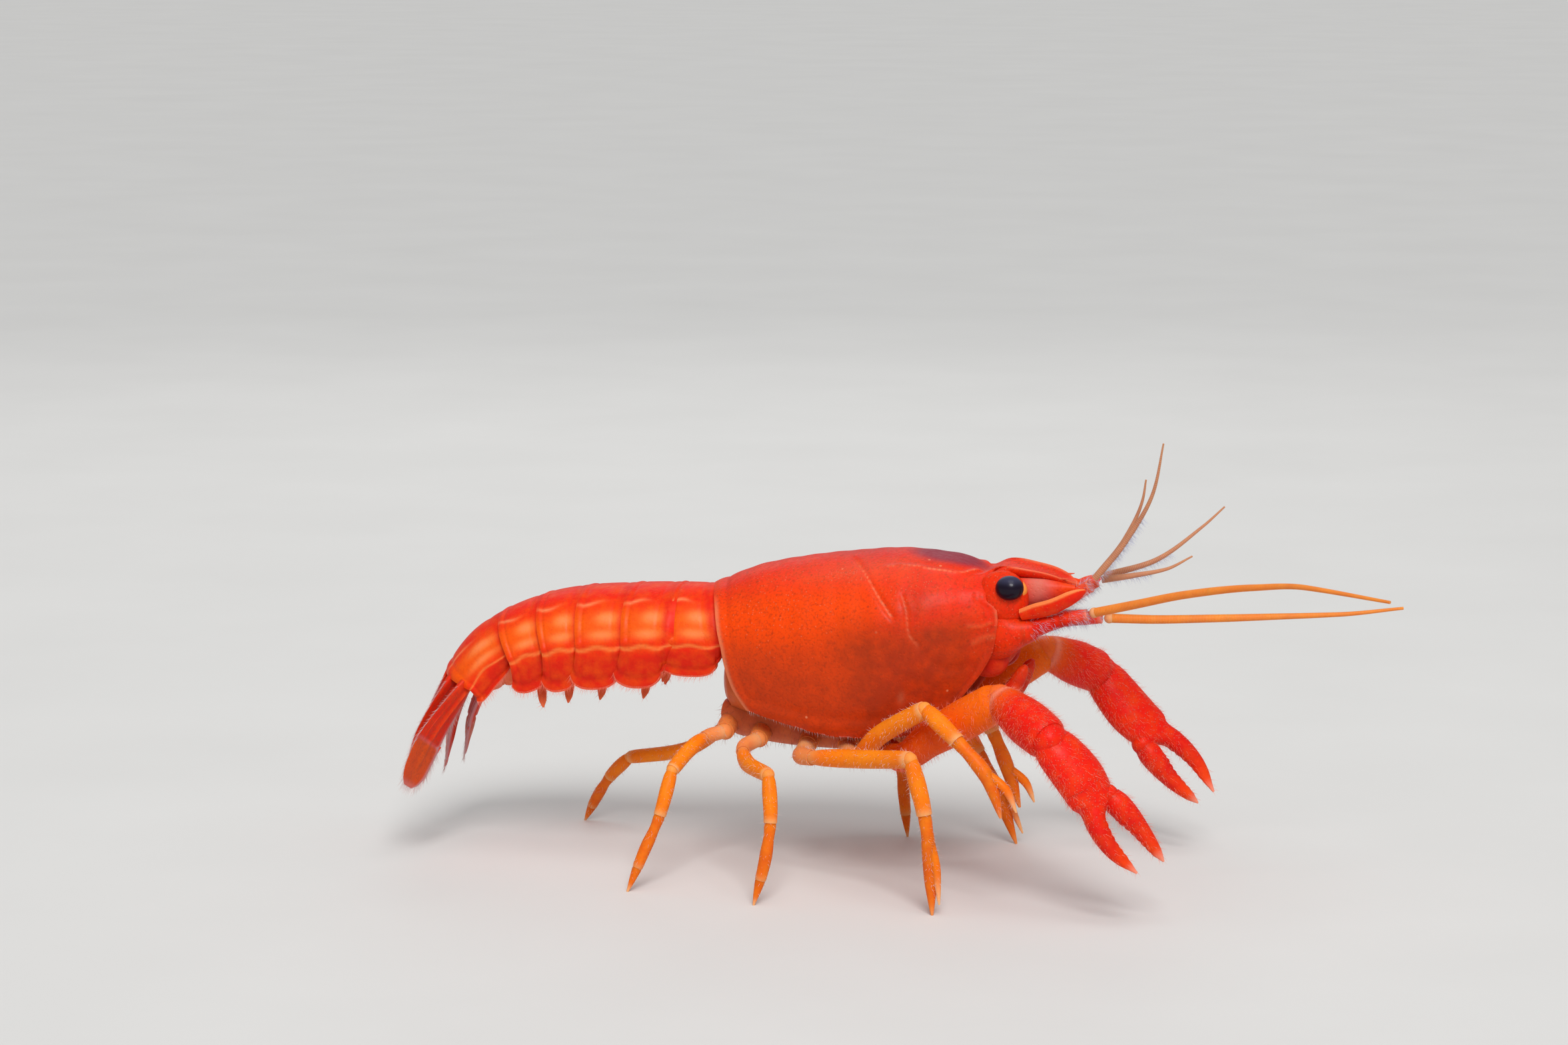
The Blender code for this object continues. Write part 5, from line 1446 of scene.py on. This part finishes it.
# %% Face
FACE_FOOT, FACE_TOP = 10.3, 14.1
FACE_REAR = ((10.3, 5.4), (11.4, 5.9), (12.5, 6.0), (14.4, 5.95))
FACE_HALF_WIDTH = ((10.3, 1.4), (11.6, 2.05), (12.8, 2.0), (13.5, 1.4), (14.4, 1.0))
FACE_STEPS = (
    (-1.2, 0.9), (-0.6, 0.95), (0.0, 0.96), (0.2, 0.94), (0.3, 0.86), (0.36, 0.62), (0.55, 0.58),
    (0.72, 0.5),
)
CHEEK_ROUTE = ((4.9, 1.5, 12.0), (5.9, 1.68, 12.15), (7.2, 1.55, 12.4))
CHEEK_WIDTHS = ((0.0, 0.7), (0.4, 0.78), (0.75, 0.66), (1.0, 0.5))
CHEEK_HEIGHTS = ((0.0, 1.3), (0.35, 1.12), (0.7, 0.72), (1.0, 0.5))
MOUTH_SIDE = (4.9, 1.3, 10.9)
EYE_SOCKET = (5.6, 1.58, 13.75)


def face_skin():
    """Upright oval rings from inside the shell to the front of the face."""
    turn = all_round(64)
    middle, tall = (FACE_TOP + FACE_FOOT) / 2.0, (FACE_TOP - FACE_FOOT) / 2.0
    rings = []
    for step in np.linspace(-1.2, 0.72, 34):
        size = profile(FACE_STEPS, step)
        height = middle + tall * np.sin(turn)
        half = profile(FACE_HALF_WIDTH, height) * np.sign(np.cos(turn)) * np.abs(np.cos(turn)) ** 0.6
        x = profile(FACE_REAR, height) + step
        rings.append(np.stack([x, half * size, middle + (height - middle) * size], axis=1))
    return skin(rings, "claw_chitin", gold=0.25, deep=0.2)


face_skins = [face_skin()]
places = shares(40)
for side in SIDES.values():
    line = mirrored_line(CHEEK_ROUTE, side)
    rings = tube(line, CHEEK_WIDTHS, CHEEK_HEIGHTS, places=places, sides=48)
    mouth, socket = mirrored(MOUTH_SIDE, side), mirrored(EYE_SOCKET, side)
    face_skins += [
        skin(rings, "shell_chitin", gold=0.35 * (1.0 - places), deep=0.35 * bell(places, 0.75, 0.04),
             grain=0.3),
        ball(mouth, (1.0, 0.6, 0.95), "claw_chitin", rows=26, size=40, gold=0.25, deep=0.5),
        ball(socket, (1.25, 0.82, 1.35), "shell_chitin", rows=40, size=50, gold=0.15, grain=0.2),
    ]
piece("face_plates", face_skins, ["face"])

# %% Eyes and their stalks
EYE_CENTRE = (6.1, 2.3, 14.4)
EYE_RADII = (0.66, 0.56, 0.58)
EYESTALK = ((6.1, 1.2, 13.92), (6.1, 1.52, 14.14))
STALK_WIDTHS = ((0.0, 0.5), (0.4, 0.62), (0.75, 0.7), (0.92, 0.66), (1.0, 0.56))
STALK_HEIGHTS = ((0.0, 0.45), (0.4, 0.55), (0.75, 0.62), (0.92, 0.6), (1.0, 0.5))
for name, side in SIDES.items():
    root, top = np.array(mirrored_line(EYESTALK, side))
    out = unit(top - root)
    centre = np.array(mirrored(EYE_CENTRE, side))
    along, through, up = EYE_RADII
    around = all_round(64)
    upright = np.cross(out, AHEAD)
    circle = np.outer(np.cos(around) * along, AHEAD) + np.outer(np.sin(around) * up, upright)
    turns = np.linspace(math.radians(20.0), math.pi - 0.02, 44)
    rings = np.array([centre - out * through * math.cos(t) + circle * math.sin(t) for t in turns])
    # Painted sheen: the top of each eye is lighter, as a painted reflection.
    painted_sheen = ramp(rings[..., 2] - centre[2], 0.1, 0.55)
    piece("eye_globe_" + name, [skin(rings, "eye_gloss", pale=painted_sheen)], ["eye_" + name])
    line = (root - out * 0.25, top + out * 0.42)
    rings = tube(line, STALK_WIDTHS, STALK_HEIGHTS, wide=AHEAD, places=shares(30), sides=48)
    stalk = skin(rings - np.array([0.0, 0.0, 0.07]), "leg_chitin", gold=0.6, pale=0.15)
    piece("eye_stalk_" + name, [stalk], ["eyestalk_" + name])

# %% [markdown]
# ## Feelers
#
# Two long feelers and two forked pairs of short ones are how the animal finds its way. A feeler is
# a whip of some hundred short rings. A curve with a bevel would be smooth all along, so a node tree
# draws it: it follows the line, thins towards the tip, and swells a little at every ring.

# %% The feeler tree
def feeler_tree():
    tree = bpy.data.node_groups.new("ringed_feeler", "GeometryNodeTree")
    sockets(tree, "INPUT", {
        "Geometry": "Geometry", "Rings": ("Int", 100), "Start Radius": ("Float", 0.2 * MM),
        "End Radius": ("Float", 0.05 * MM), "Swell": ("Float", 0.12), "Material": "Material",
    })
    sockets(tree, "OUTPUT", {"Geometry": "Geometry"})
    given = node(tree, "NodeGroupInput").outputs
    curve = node(tree, "GeometryNodeMeshToCurve", {"Mesh": given["Geometry"]}).outputs[0]
    count = product(tree, given["Rings"], 4.0)
    curve = node(tree, "GeometryNodeResampleCurve", {"Curve": curve, "Count": count}).outputs[0]
    part = node(tree, "GeometryNodeSplineParameter").outputs
    width = ranged(tree, part["Factor"], 0.0, 1.0, given["Start Radius"], given["End Radius"])
    high = maths(tree, "GREATER_THAN", maths(tree, "MODULO", part["Index"], 4.0), 1.5)
    radius = product(tree, width, maths(tree, "MULTIPLY_ADD", high, given["Swell"], 1.0))
    curve = node(tree, "GeometryNodeStoreNamedAttribute", {
        "Geometry": curve, "Name": "pale", "Value": product(tree, high, 0.18),
    }, data_type="FLOAT", domain="POINT").outputs[0]
    circle = node(tree, "GeometryNodeCurvePrimitiveCircle", {"Resolution": 10, "Radius": 1.0}).outputs[0]
    swept = {"Curve": curve, "Profile Curve": circle, "Scale": radius, "Fill Caps": True}
    body = node(tree, "GeometryNodeCurveToMesh", swept).outputs[0]
    smooth = node(tree, "GeometryNodeSetShadeSmooth", {"Geometry": body}).outputs[0]
    return ending(tree, smooth, given["Material"])


FEELER_TREE = feeler_tree()
print("tree:", FEELER_TREE.name, "with", len(FEELER_TREE.nodes), "nodes")

# %% Lines of the feelers
FEELER = {
    "right": (
        (9.92, -1.38, 13.26), (11.9, -2.2, 13.86), (14.56, -3.5, 14.68), (17.9, -5.3, 15.45),
        (20.5, -6.8, 15.82), (24.5, -8.9, 15.7),
    ),
    "left": (
        (10.1, 1.45, 12.52), (12.4, 2.0, 12.47), (15.0, 3.0, 12.47), (17.7, 4.1, 12.49),
        (20.4, 5.1, 12.54), (23.3, 6.1, 12.8),
    ),
}
FEELER_SPLIT = 0.4
SMALL_FEELERS = {
    ("right", "outer"): (
        (9.87, -1.04, 14.82), (11.32, -1.25, 16.64), (12.71, -1.75, 19.17), (13.2, -2.2, 21.4),
    ),
    ("right", "inner"): (
        (9.85, -0.4, 14.82), (11.17, -0.6, 16.64), (12.02, -0.75, 18.6), (12.17, -0.85, 19.5),
    ),
    ("left", "outer"): ((9.9, 1.04, 14.6), (12.19, 1.3, 15.35), (14.4, 1.9, 17.0), (15.36, 2.2, 17.92)),
    ("left", "inner"): ((9.92, 0.4, 14.52), (11.33, 0.55, 14.75), (12.9, 0.7, 15.1), (14.09, 0.9, 15.73)),
}


def feeler_piece(name, joints, span, rings, radii, replaced, finish="feeler_chitin"):
    """A length of a feeler, from one share of its line to another."""
    line = route(joints, np.linspace(*span, 60))
    mesh = edge_mesh([(line, np.tile(LEFT, (60, 1)))])
    made = grown(name, mesh, FEELER_TREE, {
        "Rings": rings, "Start Radius": radii[0] * MM, "End Radius": radii[1] * MM, "Swell": 0.035,
        "Material": FINISHES[finish],
    })
    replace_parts(made, replaced)


for name in SIDES:
    for part, solid, span, rings, radii in (
        ("near", "inner", (0.0, FEELER_SPLIT), 80, (0.22, 0.18)),
        ("far", "outer", (FEELER_SPLIT, 1.0), 150, (0.18, 0.07)),
    ):
        feeler_piece(f"feeler_{part}_{name}", FEELER[name], span, rings, radii, f"antenna_{solid}_{name}")
    for which in ("outer", "inner"):
        feeler_piece(f"small_feeler_{which}_{name}", SMALL_FEELERS[name, which], (0.0, 1.0), 80,
                     (0.17, 0.04), f"antennule_{which}_{name}", "small_feeler_chitin")

# %% Bases of the feelers, and the scale beside each
FEELER_BASE = {
    "right": ((6.88, -1.6, 12.34), (8.1, -1.42, 12.8), (9.6, -1.36, 13.14)),
    "left": ((6.88, 1.6, 12.24), (8.2, 1.42, 12.44), (9.75, 1.4, 12.54)),
}
FEELER_BASE_WIDTHS = ((0.0, 0.52), (0.3, 0.48), (0.45, 0.4), (0.6, 0.42), (0.85, 0.34), (1.0, 0.28))
FEELER_BASE_HEIGHTS = ((0.0, 0.48), (0.3, 0.42), (0.6, 0.36), (0.85, 0.31), (1.0, 0.27))
SCALE_ROUTE = ((6.6, 2.0, 13.12), (8.0, 2.08, 13.54), (9.6, 1.95, 14.38))
SCALE_WIDTHS = ((0.0, 0.28), (0.3, 0.44), (0.7, 0.42), (0.9, 0.28), (1.0, 0.08))
SCALE_SLOPE = 1.2
SCALE_HEIGHTS = ((0.0, 0.25), (0.8, 0.2), (1.0, 0.06))
SMALL_BASE = ((6.98, 0.55, 13.55), (8.3, 0.56, 13.68), (9.6, 0.72, 14.4))
SMALL_BASE_WIDTHS = ((0.0, 0.34), (0.5, 0.3), (1.0, 0.4))
SMALL_BASE_HEIGHTS = ((0.0, 0.5), (0.3, 0.46), (0.55, 0.32), (1.0, 0.3))
FIRST_SEGMENT = ((6.0, 1.05, 14.0), (7.4, 1.0, 14.12), (8.9, 0.8, 14.25))
FIRST_WIDTHS = ((0.0, 0.3), (0.5, 0.34), (1.0, 0.12))
FIRST_HEIGHTS = ((0.0, 0.7), (0.5, 0.55), (1.0, 0.15))


def feeler_base(name):
    options = {"heights": FEELER_BASE_HEIGHTS, "sides": 32, "hair": 0.3, "grain": 0.3}
    lengths = (
        ((0.0, 0.45), 30, {"deep": 0.25}),
        ((0.42, 0.74), 26, {
            "pale": lambda s: 0.2 * ramp(s, 0.9, 1.0), "deep": lambda s: 0.6 * bell(s, 0.5, 0.2),
        }),
        ((0.71, 1.0), 26, {"pale": lambda s: 0.1 + 0.4 * ramp(s, 0.7, 1.0)}),
    )
    skins = [
        article(FEELER_BASE[name], FEELER_BASE_WIDTHS, span, "claw_chitin", rows=rows, **masks, **options)
        for span, rows, masks in lengths
    ]
    skins.append(ball(FEELER[name][0], 0.25, "feeler_chitin", pale=0.5))
    piece("feeler_base_" + name, skins, ["antenna_base_" + name], fur="head")


def feeler_scale(name, side):
    """The leaf beside the base. It returns the line of its lower edge, and the way its hairs point."""
    line = mirrored_line(SCALE_ROUTE, side)
    turn = all_round(48)
    edge = ramp(np.cos(turn), 0.82, 0.97)[None, :] * np.ones((60, 1))
    rings = tube(line, SCALE_WIDTHS, SCALE_HEIGHTS, wide=(0.0, side, SCALE_SLOPE), sides=48,
                 places=shares(60), shape=1.0 + 0.4 * edge * np.abs(np.sin(turn))[None, :])
    skins = [skin(rings, "tail_chitin", gold=edge, pale=0.3 * edge, grain=0.2)]
    piece("feeler_scale_" + name, skins, ["antenna_scale_" + name])
    lower_edge = rings[18:, 24]
    outward = unit(lower_edge - rings[18:].mean(axis=1)) + np.array([0.5, 0.0, 0.1])
    return lower_edge, unit(outward)


def small_feeler_base(name, side):
    """The first length of the small feelers lies under the beak, and three short ones follow it."""
    line = mirrored_line(SMALL_BASE, side)
    skins = [
        article(line, SMALL_BASE_WIDTHS, span, "claw_chitin", heights=SMALL_BASE_HEIGHTS, rows=24,
                sides=28, hair=0.4, gold=0.3, pale=lambda s: 0.1 + 0.25 * ramp(s, 0.85, 1.0))
        for span in ((0.0, 0.5), (0.47, 0.76), (0.74, 1.0))
    ]
    line = mirrored_line(FIRST_SEGMENT, side)
    places = shares(30)
    rings = tube(line, FIRST_WIDTHS, FIRST_HEIGHTS, places=places, sides=40)
    grey = bell(places, 0.42, 0.2)
    skins.append(skin(rings, "claw_chitin", gold=0.4 * (1.0 - grey), pale=0.35 * grey, cool=0.45 * grey))
    piece("small_feeler_base_" + name, skins, ["antennule_base_" + name], fur="head")


scale_edges = []
for name, side in SIDES.items():
    feeler_base(name)
    scale_edges.append(feeler_scale(name, side))
    small_feeler_base(name, side)
fringe("scale_fringe", scale_edges, "pale_bristle", 0.05, 0.5, 0.2, radius=0.01)

# %% [markdown]
# ## The underside
#
# Between the legs lies the breastplate, with a hip for each limb, and the soft body above it fills
# the space under the shell. Two folded jaw legs close the mouth. Oval rings along the body are
# enough here, because little of them ever shows.

# %% Breastplate and hips
# Each row is a place along the body, with its half width, and its lowest and highest point.
BREASTPLATE = (
    (-8.2, 0.9, 6.9, 8.0), (-7.4, 1.35, 6.3, 8.3), (-4.0, 1.55, 5.95, 8.0), (-0.5, 1.5, 5.9, 7.8),
    (1.2, 1.2, 6.1, 7.8), (2.0, 0.8, 6.6, 7.8),
)
BODY_ABOVE = (
    (-8.0, 1.1, 8.0, 10.3), (-7.6, 1.8, 7.6, 10.6), (-6.0, 2.2, 7.2, 10.2), (-4.0, 2.3, 7.0, 9.4),
    (-1.0, 2.1, 6.9, 8.9), (1.5, 1.7, 7.0, 8.9), (2.4, 1.0, 7.5, 8.8),
)


def rounded_bar(stations, sides=40):
    """Upright oval rings across the body."""
    turn = all_round(sides)
    places = np.linspace(stations[0][0], stations[-1][0], 30)
    columns = [list(zip([row[0] for row in stations], [row[k] for row in stations])) for k in (1, 2, 3)]
    rings = []
    for x in places:
        half, low, high = (float(profile(column, x)) for column in columns)
        y, z = half * np.cos(turn), (low + high) / 2.0 + (high - low) / 2.0 * np.sin(turn)
        rings.append(np.stack([np.full(sides, x), y, z], axis=1))
    return rings


skins = [
    skin(rounded_bar(BREASTPLATE), "soft_skin", pale=0.15, hair=0.5),
    skin(rounded_bar(BODY_ABOVE), "soft_skin", gold=0.2, pale=0.1),
]
for side in SIDES.values():
    for limb, place in LIMB_HIPS.items():
        inside, hip = mirrored(np.add(place, STUB_REACH), side), mirrored(place, side)
        half = 0.58 if limb == 1 else 0.48
        taper = ((0.0, half * 0.95), (0.6, half), (1.0, half * 0.9))
        skins += [
            article((inside, hip), taper, (0.0, 1.0), "leg_chitin", wide=AHEAD, rows=24, sides=28, pale=0.2,
                    deep=0.35, hair=0.6),
            ball(hip, half * 0.8, "leg_chitin", pale=0.3),
        ]
piece("breastplate", skins, ["sternum"], fur="mouth")

# %% Jaw legs
JAW_LEG = ((2.4, 1.15, 6.85), (4.2, 1.2, 7.85), (5.8, 0.95, 9.15), (6.6, 0.75, 10.5))
JAW_LEG_WIDTHS = ((0.0, 0.5), (0.4, 0.6), (0.75, 0.42), (0.95, 0.27), (1.0, 0.1))
for name, side in SIDES.items():
    line = mirrored_line(JAW_LEG, side)
    skins = [
        article(line, JAW_LEG_WIDTHS, span, "claw_chitin", rows=28, sides=30, hair=0.8, deep=0.55, gold=0.3,
                mouth=span[1] < 1.0)
        for span in ((0.0, 0.42), (0.4, 0.7), (0.67, 0.87), (0.85, 1.0))
    ]
    piece("jaw_leg_" + name, skins, ["maxilliped_" + name], fur="mouth")

# %% [markdown]
# ## The hairs
#
# Now that every limb stands, hairs are strewn over them: a dense reddish fuzz on the claws, shorter
# pale hairs on the legs, brown ones about the mouth, and bluish ones on the bases of the feelers.
# Each limb could grow its own, but the skins of one group are joined first, so that one run of the
# tree covers them all. Rows of bristles hang from the lobes of the tail and the lower edge of the
# shell, and brush out from the small feelers.

# %% Hairs on the limbs
for group, count, length, lean, finish, slot in (
    ("claw_right", 5e7, 0.38, (0.5, -0.1, -0.6), "claw_bristle", "claw"),
    ("claw_left", 4e7, 0.38, (0.5, 0.1, -0.6), "claw_bristle", "claw"),
    ("leg_right", 7e7, 0.26, (0.1, 0.0, -0.5), "pale_bristle", "leg"),
    ("leg_left", 6e7, 0.26, (0.1, 0.0, -0.5), "pale_bristle", "leg"),
    ("head", 1.6e8, 0.4, (0.8, 0.0, -0.2), "blue_bristle", "feeler"),
    ("mouth", 3e7, 0.4, (0.2, 0.0, -0.8), "brown_bristle", "mouth"),
    ("tail", 9e7, 0.35, (-0.3, 0.0, -0.8), "red_bristle", "tail"),
):
    grown(group + "_hairs", mesh_of("holder", FUR[group]), HAIR, {
        "Density": count, "Length": length * MM, "Radius": 0.008 * MM, "Bend": 400.0, "Scatter": 0.55,
        "Seed": 7, "Lean": lean, "Material": FINISHES[finish],
    })

# %% Bristles in rows
def one_way(line, direction):
    """A line whose bristles all stand in one direction."""
    return line, np.tile(unit(direction), (len(line), 1))


lobe_lines, shell_lines, brush_lines = [], [], []
for index in range(6):
    _, back, down = tail_frame((SEGMENT_ENDS[index] + SEGMENT_ENDS[index + 1]) / 2.0)
    lobe_lines += [one_way(line, down + 0.35 * back) for line in LOBE_EDGES[index]]
for side in SIDES.values():
    lower_edge = shell_base(np.linspace(-6.3, 3.2, 80), np.full(80, 0.995 * side))
    shell_lines.append(one_way(lower_edge, (0.1, -0.25 * side, -1.0)))
for joints in SMALL_FEELERS.values():
    line = route(joints, np.linspace(0.02, 0.5, 40))
    brush_lines += [one_way(line, (0.9, tilt, -0.7)) for tilt in (-0.5, 0.0, 0.5)]
fringe("lobe_fringe", lobe_lines, "red_bristle", 0.03, 0.5, 0.3)
fringe("shell_fringe", shell_lines, "pale_bristle", 0.06, 0.3, 0.35)
fringe("feeler_brush", brush_lines, "blue_bristle", 0.045, 0.6, 0.45)
